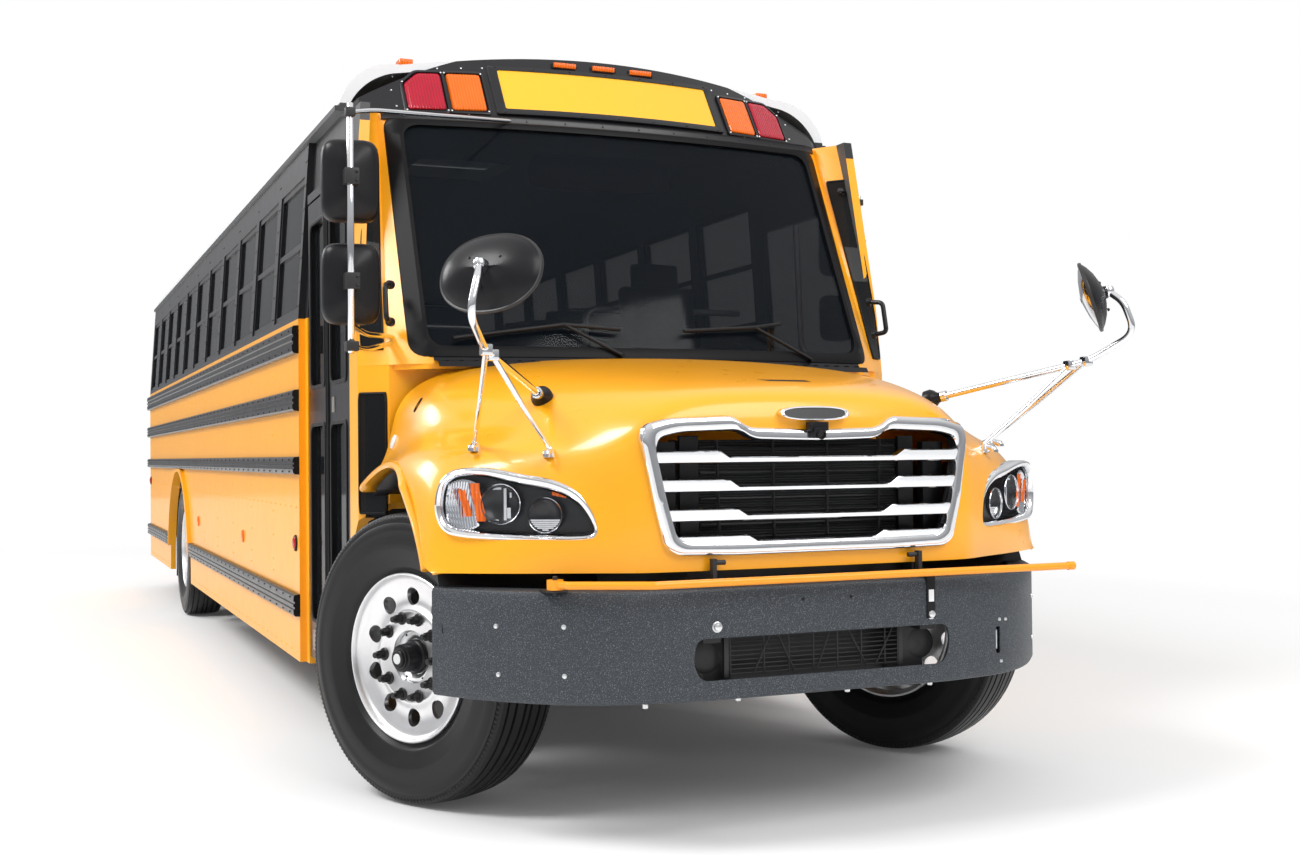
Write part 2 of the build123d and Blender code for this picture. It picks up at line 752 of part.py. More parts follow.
def rim(y, dish):
    """Disc wheel: barrel, disc at a dish offset outwards, hand holes, studs and hub."""
    profile = [(-112, rimLip), (-112, rimBead - 12), (dish - 16, rimBead - 30), (dish - 16, 150),
               (dish - 16, hubRadius),
               (dish, hubRadius), (dish, 190), (dish - 4, rimBead - 14), (112, rimBead - 12), (112,
                                                                                               rimLip),
               (96, rimLip), (94, beadSeat), (-94, beadSeat), (-96, rimLip)]
    face = make_face(Polyline(*[(0, w, r) for w, r in profile], close=True))
    wheel = revolve(face, Axis.Y)
    for place in range(handHoles):
        turn = Rot(0, (place + 0.5) * 360 / handHoles, 0)
        wheel -= turn * rod((0, -50, handCircle), (0, 140, handCircle), handRadius)
    return Pos(0, y, 0) * wheel


hubRadius = 85


def hub(y0, y1, bore):
    """Hub barrel with its studs, bored for the spindle."""
    barrel = rod((0, y0, 0), (0, y1, 0), hubRadius)
    if bore:
        barrel -= rod((0, y0 - 1, 0), (0, y1 - 8, 0), bore)
    return barrel


def studs(y):
    """Wheel studs with nuts standing on the disc."""
    nuts = []
    for place in range(studCount):
        turn = Rot(0, place * 360 / studCount, 0)
        nuts.append(turn * rod((0, y - 2, studCircle), (0, y + 34, studCircle), nutRadius))
    return nuts


frontDish = 75


def frontWheel():
    """Left front rim with hub, straight ahead with its centre at the origin."""
    wheel = rim(0, frontDish) + hub(12, frontDish + 90, spindleRadius + runningGap)
    for nut in studs(frontDish):
        wheel += nut
    return wheel


def placedFront(shape, side):
    """Front wheel part set at its hub and turned with the steering."""
    if side < 0:
        shape = mirrored(shape)
    offset = side * (frontTrackHalf - kingpinHalf)
    return Pos(0, side * kingpinHalf, tyreRadius) * Rot(0, 0, steerAngle) * Pos(0, offset, 0) * shape


def rearWheels(side):
    """Twin rims back to back on one hub."""
    outer = rim(0, -85)
    inner = mirrored(rim(0, -85))
    wheel = Pos(0, rearOuterY, 0) * outer + Pos(0, rearInnerY, 0) * inner
    seat = (rearOuterY + rearInnerY) / 2
    wheel += rod((0, rearInnerY + 60, 0), (0, rearOuterY + 20, 0), hubRadius)
    wheel += rod((0, rearInnerY + 69, 0), (0, rearOuterY - 85, 0), 150)
    wheel -= rod((0, rearInnerY, 0), (0, rearOuterY - 60, 0), rearSpindle + runningGap)
    for nut in studs(rearOuterY - 85):
        wheel += nut
    wheel = Pos(-wheelBase, 0, tyreRadius) * wheel
    return wheel if side > 0 else mirrored(wheel)


rearSpindle = 55


def rearTyres(side):
    """Two tyres side by side."""
    pair = gather([Pos(-wheelBase, 0, tyreRadius) * tyre(y) for y in (rearOuterY, rearInnerY)])
    return pair if side > 0 else mirrored(pair)


def rearAxle():
    """Axle tube with differential, leaf springs, spindles and propeller shaft."""
    x, z = -wheelBase, tyreRadius
    axle = crossAxis(x, z, 70, -560, 560)
    axle += Pos(x, 0, z) * Sphere(200)
    for side in (1, -1):
        axle += crossAxis(x, z, rearSpindle, side * 550, side * (rearOuterY - 70))
    spring = springPack(x, 690, 700, 690)
    spring = spring + block(x - 90, x + 90, railHalf + 8, railHalf + 82, 570, 640)
    axle += spring + mirrored(spring)
    shaft = rod((x + 150, 0, z + 10), (-400, 0, 690), 55)
    return axle + shaft


def fuelTank():
    """Box tank under the floor on the left, with its straps."""
    tank = block(-4300, -3000, 480, 1130, 350, railTopZ - 20)
    tank = fillet(tank.edges().filter_by(Axis.X), 60)
    for x in (-4000, -3350):
        tank += block(x, x + 50, railHalf, 640, 700, 745)
    return tank


def exhaust():
    """Muffler and tail pipe on the right, hung from the frame."""
    muffler = rod((-5300, -640, 640), (-4200, -640, 640), 130)
    pipe = tube([(-4210, -640, 640), (-3600, -560, 700), (-1700, -560, 700)], 50)
    under, over = railBottomZ - 65, railTopZ - 140
    tail = tube([(-5290, -640, 640), (-5500, -640, under), (-5700, -250, under), (-6000, -250, over),
                 (-8200, -250, over), (-8450, -250, under), (-8800, -700, 400), (-9990, -700, 400)], 50)
    hanger = block(-4800, -4760, -640, -railHalf, 700, 780) + block(-9300, -9260, -720, -railHalf, 430,
                                                                    460)
    hanger += block(-9300, -9260, -railHalf - 30, -railHalf, 430, 640)
    return muffler + pipe + tail + hanger


# ---------- hood
# Plan outlines of the fender block: (x, y) round the left half, at four heights
fenderSections = [
    (hoodBottomZ, [(hoodSeamX, 1192), (480, 1204), (690, 1192), (985, 722), (1045, 602)]),
    (1130, [(hoodSeamX, 1186), (440, 1196), (692, 1166), (965, 714), (1062, 600)]),
    (1240, [(hoodSeamX, 1150), (430, 1158), (715, 1100), (926, 700), (1062, 585)]),
    (1330, [(hoodSeamX, 1060), (350, 1050), (560, 960), (850, 660), (1055, 560)]),
]
# Sections of the hood's dome: x, half-width, shoulder z, crown z
domeSections = [(hoodSeamX, 1030, 1440, 1622), (200, 985, 1420, 1600), (720, 850, 1370, 1535),
                (1062, 612, 1290, 1428)]
domeBottomZ = 1120


def fenderFace(z, outline, inset):
    """Plan section of the fender block."""
    half = [(x - inset * (x > 0) * 1.2, y - inset, z) for x, y in outline]
    half[0] = (hoodSeamX - (1 if inset else 0), half[0][1], z)
    return make_face(Polyline(*half, *[(x, -y, level) for x, y, level in reversed(half)], close=True))


def domeFace(x, half, shoulderZ, crownZ, inset):
    """YZ section of the hood's dome."""
    half, shoulderZ, crownZ = half - inset, shoulderZ - inset, crownZ - inset
    x = x - (inset if x > 0 else (1 if inset else 0))
    low = domeBottomZ - (1 if inset else 0)
    bend = half * 0.72
    bendZ = shoulderZ + (crownZ - shoulderZ) * 0.7
    side = Line((x, half, low), (x, half, shoulderZ))
    corner = ThreePointArc((x, half, shoulderZ),
                           (x, half * 0.92, shoulderZ + (bendZ - shoulderZ) * 0.68), (x, bend, bendZ))
    crown = ThreePointArc((x, bend, bendZ), (x, 0, crownZ), (x, -bend, bendZ))
    base = Line((x, half, low), (x, -half, low))
    return make_face([side, corner, crown, corner.mirror(Plane.XZ), side.mirror(Plane.XZ), base])


@cache
def hoodSolid(inset):
    """Outer or inner shape of the hood."""
    drop = 1 if inset else 0
    last = len(fenderSections) - 1
    faces = [fenderFace(z - {0: drop, last: inset}.get(place, 0), outline, inset)
             for place, (z, outline) in enumerate(fenderSections)]
    fender = loft(faces, ruled=True)
    dome = loft([domeFace(*row, inset) for row in domeSections], ruled=True)
    return fender + dome


arch = (60, 590, 625)      # front wheel opening: centre x, centre z, radius


def grilleOutline(margin):
    """Corners of the grille frame, seen from ahead."""
    return [(grilleTopHalf - margin, grilleTopZ - margin), (grilleBottomHalf - margin,
                                                            grilleBottomZ + margin),
            (-grilleBottomHalf + margin, grilleBottomZ + margin), (-grilleTopHalf + margin,
                                                                   grilleTopZ - margin)]


def hood():
    """Tilting hood with fenders: a shell, open below and behind, with wheel and grille openings."""
    shell = hoodSolid(0) - hoodSolid(hoodThickness)
    x, z, radius = arch
    for side in (1, -1):
        shell -= crossAxis(x, z, radius, side * 600, side * 1400)
    shell -= alongX(grilleOutline(0), grilleX - 220, grilleX + 100)
    for cut in lampShapes(0, 2 * lampDepth):
        shell -= cut
    centre, corner, pillar, post = screenPlan(screenBottomZ, 0)
    gap = 12
    rear = make_face([ThreePointArc((corner + gap, screenHalf + 70, 0), (centre + gap, 0, 0),
                                    (corner + gap, -screenHalf - 70, 0)),
                      Polyline((corner + gap, -screenHalf - 70, 0), (-1000, -screenHalf - 70, 0),
                               (-1000, screenHalf + 70, 0),
                               (corner + gap, screenHalf + 70, 0))])
    shell -= Pos(0, 0, 1500) * extrude(rear, 300, dir=(0, 0, 1))
    ear = block(grilleX - 30, hoodTiltX + hoodPin + 5, hoodEarY - 10, hoodEarY + 10, hoodTiltZ - 14,
                hoodTiltZ + 14)
    ear -= crossAxis(hoodTiltX, hoodTiltZ, hoodPin + runningGap, hoodEarY - 11, hoodEarY + 11)
    return shell + ear + mirrored(ear)


# Grille bars: middle z, height
grilleBars = [(1229, 26), (1138, 26), (1049, 26)]


def grille():
    """Chrome frame with its bars, filling the opening in the hood."""
    frame = alongX(grilleOutline(0), grilleX - 10, grilleX + grilleDepth)
    frame -= alongX(grilleOutline(46), grilleX - 60, grilleX + 60)
    inside = alongX(grilleOutline(40), grilleX - 10, grilleX + grilleDepth - 8)
    for middle, height in grilleBars:
        frame += inside & block(0, 2000, -700, 700, middle - height / 2, middle + height / 2)
    return frame


lampFace = ((705, 1160), (965, 715))     # plan points at the outer and inner ends of a headlamp
lampZ = 1092
lampHeight = 232
lampLength = 500
lampProud = 12             # how far a headlamp stands out of the fender
lampDepth = 80


def lampPlane():
    """Plane of the left headlamp, facing outwards."""
    (x0, y0), (x1, y1) = lampFace
    middle = ((x0 + x1) / 2, (y0 + y1) / 2, lampZ)
    along = Vector(x1 - x0, y1 - y0, 0)
    return Plane(origin=middle, x_dir=along, z_dir=(-(y1 - y0), x1 - x0, 0))


def lampShapes(grow, depth):
    """Rounded outline of both headlamps swept through the fender."""
    outline = RectangleRounded(lampLength + grow, lampHeight + grow, 95)
    shape = extrude(lampPlane().offset(lampProud - depth) * outline, depth)
    return [shape, mirrored(shape)]


def headlamps():
    """Lamp units set in the fender corners."""
    return gather(lampShapes(0, lampDepth))


crossMirror = (1195, 1153, 1789)     # centre of a cross-view mirror
mirrorLong = 152
mirrorDepth = 60
mirrorTilt = 22


def crossViewMirrors():
    """Round convex mirrors on tripod arms at the hood's front corners."""
    x, y, z = crossMirror
    rimZ = -12
    edge = Polyline((0, 0, mirrorDepth), (0, 0, rimZ), (mirrorLong, 0, rimZ), (mirrorLong, 0, 0))
    bulge = ThreePointArc((mirrorLong, 0, 0), (mirrorLong * 0.62, 0, mirrorDepth * 0.75),
                          (0, 0, mirrorDepth))
    head = Pos(x, y, z) * Rot(0, -90 - mirrorTilt, 0) * revolve(make_face([edge, bulge]), Axis.Z)
    back = (x + 12, y, z + 4)
    elbow = (1195, 1200, 1690)
    foot = (735, 828, 1385)
    join = (1000, 1060, 1570)
    side = head + tube([back, elbow, join, foot], 11)
    shell = hoodSolid(0)
    for leg, radius in (((735, 1020, 1245), 20), ((835, 845, 1245), 20), (foot, 34)):
        stub = rod((leg[0], leg[1], leg[2] - 30), (leg[0], leg[1], leg[2] + 30), radius) - shell
        side += stub.solids().sort_by(SortBy.VOLUME)[-1]
        if radius < 30:
            side += rod(join, (leg[0], leg[1], leg[2] + 20), 9)
    side = (side - shell).solids().sort_by(SortBy.VOLUME)[-1]
    return bothSides(side)


# ---------- doors
doorMiddleX = (doorFrontX + doorRearX) / 2
leafOuterY = bodyHalf - frameInset - 4
hingeInset = 12
doorPin = 7
# Glass of a leaf: bottom z, top z
leafLights = [(1560, doorTopZ - 110), (520, 1390)]


def leafSpan(front):
    """Rear and front x of a door leaf."""
    if front:
        return doorMiddleX + leafGap, doorFrontX - 12
    return doorRearX + 12, doorMiddleX - leafGap


def leafAxis(front):
    """Plan position of a leaf's hinge, on the left side's sign of y."""
    x0, x1 = leafSpan(front)
    return (x1 - hingeInset, leafOuterY - hingeInset) if front else (x0 + hingeInset,
                                                                     leafOuterY - hingeInset)


def doorLeaf(front):
    """One leaf of the entrance door: a frame with two lights, bored for its hinge pin."""
    x0, x1 = leafSpan(front)
    leaf = block(x0, x1, -leafOuterY, -leafOuterY + leafThickness, doorBottomZ, doorTopZ - 10)
    for low, high in leafLights:
        leaf -= block(x0 + leafRail, x1 - leafRail, -bodyHalf, -bodyHalf + 200, low, high)
    x, y = leafAxis(front)
    return leaf - rod((x, -y, doorTopZ - 36), (x, -y, doorTopZ), doorPin + runningGap)


def doorLeafGlass(front):
    """Panes of one leaf."""
    x0, x1 = leafSpan(front)
    y = -leafOuterY + leafThickness / 2
    return gather([block(x0 + leafRail, x1 - leafRail, y - 3, y + 3, low, high) for low,
                   high in leafLights])


# ---------- bumpers and arms
# Plan of the bumper's outer face: x, y on the left half
bumperPlan = [(bumperFaceX, 470), (1085, 745), (985, 905), (815, 1065), (640, 1172)]
plateBolt = (178 / 2, 3.5, 560)       # half spacing, hole radius, height
grillSlot = (455, 548, 655)           # half-width, bottom z, top z of the bumper's opening
gridHalf = 350


def frontBumper():
    """Wrap-round bumper with an opening for the coolers and a grid behind it."""
    inner = [(x - bumperThickness, y - bumperThickness * 0.6) for x, y in bumperPlan[:-1]]
    inner.append((bumperPlan[-1][0], bumperPlan[-1][1] - bumperThickness))
    ring = list(reversed(bumperPlan)) + [(x, -y) for x, y in bumperPlan]
    ring += [(x, -y) for x, y in reversed(inner)] + inner
    bar = alongZ(ring, bumperBottomZ, bumperTopZ)
    half, low, high = grillSlot
    slot = [(-half, low + 30), (-half + 40, low), (half - 40, low), (half, low + 30), (half - 20, high),
            (-half + 20, high)]
    bar -= alongX(slot, 900, 1300)
    spacing, radius, z = plateBolt
    for y in (-spacing, spacing):
        bar -= rod((1000, y, 500), (1300, y, 500), radius)
    back = bumperFaceX - bumperThickness
    grid = Part()
    for place in range(7):
        z = low + 12 + place * (high - low - 24) / 6
        grid += block(back - 16, back, -gridHalf, gridHalf, z - 3, z + 3)
    for y in (-gridHalf, 0, gridHalf):
        grid += block(back - 22, back + 2, y - 8, y + 8, low - 20, high + 20)
    return bar + grid + bumperHinge()


armHinge = (1010, -880)
armZ = 846


def bumperHinge():
    """Bracket and pin of the crossing arm on the bumper's top edge."""
    x, y = armHinge
    bracket = block(x - 60, x + 10, y - 40, y + 40, bumperTopZ - 60, bumperTopZ - 0.0)
    return bracket + rod((x, y, bumperTopZ - 20), (x, y, armZ + 24), 8)


def crossingArm():
    """Yellow rod that lies along the bumper and swings forward."""
    x, y = armHinge
    boss = rod((x, y, armZ - armRadius - 4), (x, y, armZ + armRadius + 2), 26)
    bar = tube([(x, y, armZ), (x + 60, y + 22, armZ), (1200, -626, armZ), (1196, 930, armZ)], armRadius)
    cap = rod((1196, 925, armZ), (1196, 950, armZ), armRadius + 2)
    return boss + bar + cap - rod((x, y, armZ - 80), (x, y, armZ + 80), 8 + runningGap)


stopArmHinge = (-1700, bodyHalf + 50, 1640)
stopSize = 450
stopSleeve = 54
stopLug = 18


def stopArm():
    """Blank octagon on the left side that swings out."""
    x, y, z = stopArmHinge
    plate = extrude(Plane(origin=(x - stopSize / 2 - 40, y + 5, z),
                          z_dir=(0, 1, 0)) * RegularPolygon(stopSize / 2, 8, major_radius=False,
                                                            rotation=22.5), -10)
    half = stopSleeve
    bar = block(x - 60, x, y - 5, y + 5, z - half, z + half) + rod((x, y, z - half), (x, y, z + half), 14)
    return plate + bar - rod((x, y, z - half - 1), (x, y, z + half + 1), 8 + runningGap)


def stopArmBase():
    """Fixed bracket and hinge pin of the stop arm."""
    x, y, z = stopArmHinge
    inner = stopSleeve + 6
    outer = inner + stopLug
    base = block(x + 22, x + 60, bodyHalf, y + 14, z - outer, z + outer)
    for low, high in ((z - outer, z - inner), (z + inner, z + outer)):
        base += block(x - 20, x + 60, bodyHalf, y + 14, low, high)
    return base + rod((x, y, z - outer), (x, y, z + outer), 8)


# ---------- mirrors, wipers and lamps
headSize = (70, 205, 290)


def mirrorHead(x, y, z, turn):
    """Rectangular mirror head with rounded corners."""
    depth, width, height = headSize
    head = fillet(Box(depth, width, height).edges().filter_by(Axis.X), 40)
    return Pos(x - 30, y, z) * Rot(0, 0, turn) * head


# Side mirrors: side, pole x, pole y, pole top and bottom z, head centres z, head turn, anchors on the body
rightMirror = (0, -1294, eaveZ - 200, 1650, (2252, 1882), -8, [(-690, -423, eaveZ - 6),
                                                               (-345, -1050, 1680)])
leftMirror = (-850, 1350, eaveZ - 245, 1800, (2245, 1900), 20, [(-560, 1062, eaveZ - 260),
                                                                (-560, 1180, 1760)])


def sideMirror(pole):
    """Chrome pole with two heads and its stays to the body."""
    x, y, top, bottom, heads, turn, anchors = pole
    side = 1 if y > 0 else -1
    shape = rod((x, y, bottom), (x, y, top), 12)
    for end, anchor in zip((top, bottom), anchors):
        shape += tube([(x, y, (top + bottom) / 2), (x, y, end), anchor], 10)
    depth, width, height = headSize
    reach = width / 2 * cos(radians(turn)) + depth / 2 * sin(radians(abs(turn)))
    for z in heads:
        shape += mirrorHead(x, side * (mirrorReach - reach), z, turn)
        shape += rod((x, y, z), (x - 30, side * (mirrorReach - reach), z), 14)
    return shape


def sideMirrors():
    """Both side mirror assemblies, trimmed where their feet meet the body."""
    shell = cowl() + sideWallLeft() + frontCap()
    sides = []
    for pole in (rightMirror, leftMirror):
        shape = sideMirror(pole) - shell
        sides.append(shape.solids().sort_by(SortBy.VOLUME)[-1])
    return gather(sides)


# Wipers: pivot (y, z), elbow (y, z), blade ends (y, z)
wiperTable = [((-200, 1637), (-420, 1760), (-860, 1700), (-190, 1745)), ((680, 1637), (430, 1770),
                                                                         (90, 1745), (560, 1790))]


def screenX(y, z, ahead):
    """x of the windshield's outer face at a point, moved ahead by a clearance."""
    centre, corner, pillar, post = screenPlan(z, 0)
    return corner + (centre - corner) * (1 - (y / screenHalf) ** 2) + ahead


def wipers():
    """Two wiper arms with their blades lying on the windshield's foot."""
    arms = []
    for pivot, elbow, inner, outer in wiperTable:
        points = [(screenX(y, z, 22), y, z) for y, z in (pivot, elbow, inner, outer)]
        arm = rod(points[0], points[1], 7) + rod(points[2], points[1], 8) + rod(points[1], points[3], 8)
        foot = rod((screenX(*pivot, -60), *pivot), (screenX(*pivot, 28), *pivot), 8)
        arms.append(arm + foot + Pos(*points[1]) * Sphere(9))
    body = cowl()
    return gather([(arm - body).solids().sort_by(SortBy.VOLUME)[-1] for arm in arms])


# Warning lamps on the cap's face: inner y, outer y. Rear ones repeat them flat on the rear wall.
warningLamps = [(560, 712), (732, 900)]
lampLow, lampHigh = eaveZ, roofTopZ - 110


def warningLampSet():
    """Eight warning lamps, front and rear, with the roof markers and side markers."""
    lamps = []
    for inner, outer in warningLamps:
        front = loft([capPlan(lampLow, capFace(lampLow) + 14),
                      capPlan(lampHigh, capFace(lampHigh) + 14)], ruled=True)
        front = (front & block(roofFrontX, 0, inner, outer, lampLow,
                               lampHigh)) - capSolid(0) - capSolid(capShell)
        rear = block(sideRearX - 18, sideRearX, inner, outer, eaveZ - 60, eaveZ + 100)
        lamps += [front, rear]
    sideMarker = block(sideFrontX - 120, sideFrontX - 60, bodyHalf, bodyHalf + 14, 820, 880)
    rearMarker = block(sideRearX + 90, sideRearX + 150, bodyHalf, bodyHalf + 14, 1010, 1070)
    lamps += [sideMarker, rearMarker]
    return gather([shape for lamp in lamps for shape in (lamp, mirrored(lamp))])


def tailLamps():
    """Brake, turn and reverse lamps on the rear panel."""
    lamps = []
    for z, radius in ((1480, 88), (1270, 88), (1090, 50)):
        lamps.append(rod((sideRearX, 900, z), (sideRearX - 16, 900, z), radius))
    return gather([shape for lamp in lamps for shape in (lamp, mirrored(lamp))])


# ---------- inside
seatRows = 11
seatPitch = 740
firstSeatX = sideFrontX - 520
seatInnerY, seatOuterY = 175, 1120
cushionZ = (1330, 1450)
backTopZ = 2060


def passengerSeats():
    """High-backed benches in rows, each with its legs."""
    seats = []
    for place in range(seatRows):
        x = firstSeatX - place * seatPitch
        seat = block(x - 60, x + 340, seatInnerY, seatOuterY, *cushionZ)
        seat += alongY([(x - 60, cushionZ[0]), (x, cushionZ[1]), (x - 70, backTopZ),
                        (x - 150, backTopZ)], seatInnerY, seatOuterY)
        for leg in (x, x + 280):
            seat += block(leg - 18, leg + 18, seatInnerY + 40, seatInnerY + 90, floorZ, cushionZ[0])
        seats += [seat, mirrored(seat)]
    return gather(seats)


driverX, driverY = -1420, 560


def driverSeat():
    """Driver's seat on its pedestal."""
    seat = block(driverX - 30, driverX + 440, driverY - 245, driverY + 245, 1400, 1510)
    seat += alongY([(driverX - 30, 1400), (driverX + 80, 1510), (driverX - 40, 2180),
                    (driverX - 130, 2180)],
                   driverY - 230, driverY + 230)
    return seat + block(driverX + 40, driverX + 380, driverY - 160, driverY + 160, floorZ, 1400)


def dashboard():
    """Instrument shelf behind the bulkhead with the steering column and wheel."""
    back = bulkheadX - wallThickness
    shelf = alongY([(back, 1170), (back, 1560), (back - 150, 1580), (back - 330, 1500),
                    (back - 330, 1400), (back - 200, 1170)], 80, 1010)
    shelf += alongY([(back, 1170), (back, 1540), (back - 120, 1550), (back - 180, 1400)], -1000, 80)
    column = rod((back - 150, driverY, 1350), (back - 480, driverY, 1560), 30)
    top = Plane(origin=(back - 474, driverY, 1556), z_dir=(-330, 0, 210))
    ring = extrude(top * (Circle(225) - Circle(197)), 28)
    spokes = extrude(top * (Rectangle(400, 40) + Rectangle(40, 400)), 16)
    return shelf + column + ring + spokes


def mudFlaps():
    """Rubber flaps behind the rear tyres."""
    x = -wheelBase - archRadius - 30
    flap = block(x - 10, x, 600, 1170, 250, 960)
    return bothSides(flap)


nodes = {
    "chassis_frame": chassisFrame(),
    "engine_block": engineBlock(),
    "radiator_pack": radiatorPack(),
    "front_axle": frontAxle(),
    "rear_axle": rearAxle(),
    "fuel_tank": fuelTank(),
    "exhaust_pipe": exhaust(),
    "body_floor": bodyFloor(),
    "side_wall_left": sideWallLeft(),
    "side_wall_right": sideWallRight(),
    "roof_shell": roofShell(),
    "front_cap": frontCap(),
    "rear_wall": rearWallPanel(),
    "cowl_frame": cowl(),
    "windshield": windshield(),
    "side_glass": sideGlass(),
    "window_sashes": windowSashes(),
    "rub_rails": rubRails(),
    "rear_bumper": rearBumper(),
    "front_bumper": frontBumper(),
    "warning_lamps": warningLampSet(),
    "tail_lamps": tailLamps(),
    "side_mirrors": sideMirrors(),
    "wipers": wipers(),
    "passenger_seats": passengerSeats(),
    "driver_seat": driverSeat(),
    "dashboard": dashboard(),
    "mud_flaps": mudFlaps(),
    "stop_arm_base": stopArmBase(),
    "hood_shell": hood(),
    "grille": grille(),
    "headlamps": headlamps(),
    "cross_view_mirrors": crossViewMirrors(),
    "door_front_leaf": doorLeaf(True),
    "door_front_glass": doorLeafGlass(True),
    "door_rear_leaf": doorLeaf(False),
    "door_rear_glass": doorLeafGlass(False),
    "crossing_arm": crossingArm(),
    "stop_arm": stopArm(),
    "rear_door": rearDoorLeaf(),
    "rear_door_glass": rearDoorPanes(),
    "roof_hatch_front": roofHatch(hatchCentres[0]),
    "roof_hatch_rear": roofHatch(hatchCentres[1]),
    "knuckle_left": knuckle(1),
    "knuckle_right": knuckle(-1),
    "front_rim_left": placedFront(frontWheel(), 1),
    "front_rim_right": placedFront(frontWheel(), -1),
    "front_tyre_left": placedFront(tyre(0), 1),
    "front_tyre_right": placedFront(tyre(0), -1),
    "rear_rims_left": rearWheels(1),
    "rear_rims_right": rearWheels(-1),
    "rear_tyres_left": rearTyres(1),
    "rear_tyres_right": rearTyres(-1),
}

os.makedirs("parts", exist_ok=True)
for name, shape in nodes.items():
    export_step(Pos(originShift, 0, 0) * shape, f"parts/{name}.step")
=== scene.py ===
import bmesh
import bpy
import math
from mathutils import Matrix, Vector
from mathutils.bvhtree import BVHTree


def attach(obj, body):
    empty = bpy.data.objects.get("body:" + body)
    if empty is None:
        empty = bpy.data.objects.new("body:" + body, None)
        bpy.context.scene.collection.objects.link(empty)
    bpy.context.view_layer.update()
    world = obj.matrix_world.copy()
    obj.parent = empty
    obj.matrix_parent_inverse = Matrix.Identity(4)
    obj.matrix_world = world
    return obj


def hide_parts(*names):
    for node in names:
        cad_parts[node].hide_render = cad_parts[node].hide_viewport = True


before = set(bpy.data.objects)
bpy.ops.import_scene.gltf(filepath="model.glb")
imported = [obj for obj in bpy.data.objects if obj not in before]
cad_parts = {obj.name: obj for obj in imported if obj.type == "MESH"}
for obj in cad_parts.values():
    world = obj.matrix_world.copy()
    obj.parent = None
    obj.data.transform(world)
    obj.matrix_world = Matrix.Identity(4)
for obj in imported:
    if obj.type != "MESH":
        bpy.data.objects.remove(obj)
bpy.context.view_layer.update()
# x of the front axle in the shared frame; all x values below are measured from it
axleX = 4.371
print("frame loaded")


# shader helpers
class Value:
    # a node socket that can stand in a sum
    def __init__(self, finish, socket):
        self.finish = finish
        self.socket = socket

    def sum(self, operation, first, second):
        return self.finish.node("Math", {"operation": operation}, {0: first, 1: second})

    def __add__(self, other):
        return self.sum("ADD", self, other)

    def __radd__(self, other):
        return self.sum("ADD", other, self)

    def __sub__(self, other):
        return self.sum("SUBTRACT", self, other)

    def __rsub__(self, other):
        return self.sum("SUBTRACT", other, self)

    def __mul__(self, other):
        return self.sum("MULTIPLY", self, other)

    def __rmul__(self, other):
        return self.sum("MULTIPLY", other, self)

    def __truediv__(self, other):
        return self.sum("DIVIDE", self, other)

    def __rtruediv__(self, other):
        return self.sum("DIVIDE", other, self)

    def __gt__(self, other):
        return self.sum("GREATER_THAN", self, other)

    def __lt__(self, other):
        return self.sum("LESS_THAN", self, other)

    def wave(self):
        return self.sum("SINE", self, 0.0)

    def part(self):
        return self.sum("FRACT", self, 0.0)

    def clipped(self):
        return self.finish.node("Clamp", {}, {"Value": self})


class Finish:
    # one procedural material, or the world's shader
    def __init__(self, name, world=None):
        self.material = world or bpy.data.materials.new(name)
        self.material.use_nodes = True
        self.tree = self.material.node_tree
        self.tree.nodes.clear()
        self.end = self.tree.nodes.new("ShaderNodeOutput" + ("World" if world else "Material"))

    def node(self, kind, settings, inputs, output=0):
        made = self.tree.nodes.new("ShaderNode" + kind)
        for name, value in settings.items():
            if name == "stops":
                ramp = made.color_ramp.elements
                ramp[0].position, ramp[0].color = value[0][0], (*value[0][1], 1)
                ramp[1].position, ramp[1].color = value[-1][0], (*value[-1][1], 1)
                for place, colour in value[1:-1]:
                    ramp.new(place).color = (*colour, 1)
            else:
                setattr(made, name, value)
        for name, value in inputs.items():
            self.feed(made.inputs[name], value)
        return Value(self, made.outputs[output])

    def feed(self, socket, value):
        if isinstance(value, Value):
            self.tree.links.new(value.socket, socket)
        elif isinstance(value, tuple) and len(value) == 3 and socket.type == "RGBA":
            socket.default_value = (*value, 1)
        else:
            socket.default_value = value

    def place(self):
        return self.node("TexCoord", {}, {}, "Object")

    def axes(self, vector=None):
        split = self.tree.nodes.new("ShaderNodeSeparateXYZ")
        self.feed(split.inputs[0], vector or self.place())
        return [Value(self, out) for out in split.outputs]

    def noise(self, scale, detail=3.0, rough=.5, vector=None):
        return self.node("TexNoise", {}, {"Vector": vector or self.place(), "Scale": scale,
                                          "Detail": detail, "Roughness": rough})

    def mix(self, share, first, second):
        return self.node("Mix", {"data_type": "RGBA"}, {0: share, 6: first, 7: second}, 2)

    def bump(self, height, strength, distance):
        return self.node("Bump", {}, {"Height": height, "Strength": strength, "Distance": distance})

    def surface(self, inputs):
        shader = self.node("BsdfPrincipled", {}, inputs)
        self.feed(self.end.inputs["Surface"], shader)
        return self.material


def painted(name, colour, deeper, rough=.32, coat=.8, grit=0.0):
    finish = Finish(name)
    cloud = finish.noise(1.7, 4.0, .6)
    base = finish.mix(cloud * .55, colour, deeper)
    skin = finish.bump(finish.noise(260.0, 2.0) + finish.noise(30.0) * .6, .04 + grit, .0012)
    return finish.surface({"Base Color": base, "Roughness": finish.noise(9.0, 5.0) * .14 + (rough - .07),
                           "Coat Weight": coat, "Coat Roughness": .11, "Specular IOR Level": .4,
                           "Normal": skin})


paintLook = {"yellow": (1.0, .435, .01), "deepYellow": (.98, .37, .006), "white": (.8, .81, .82),
             "black": (.012, .012, .014), "lining": (.1, .11, .115)}


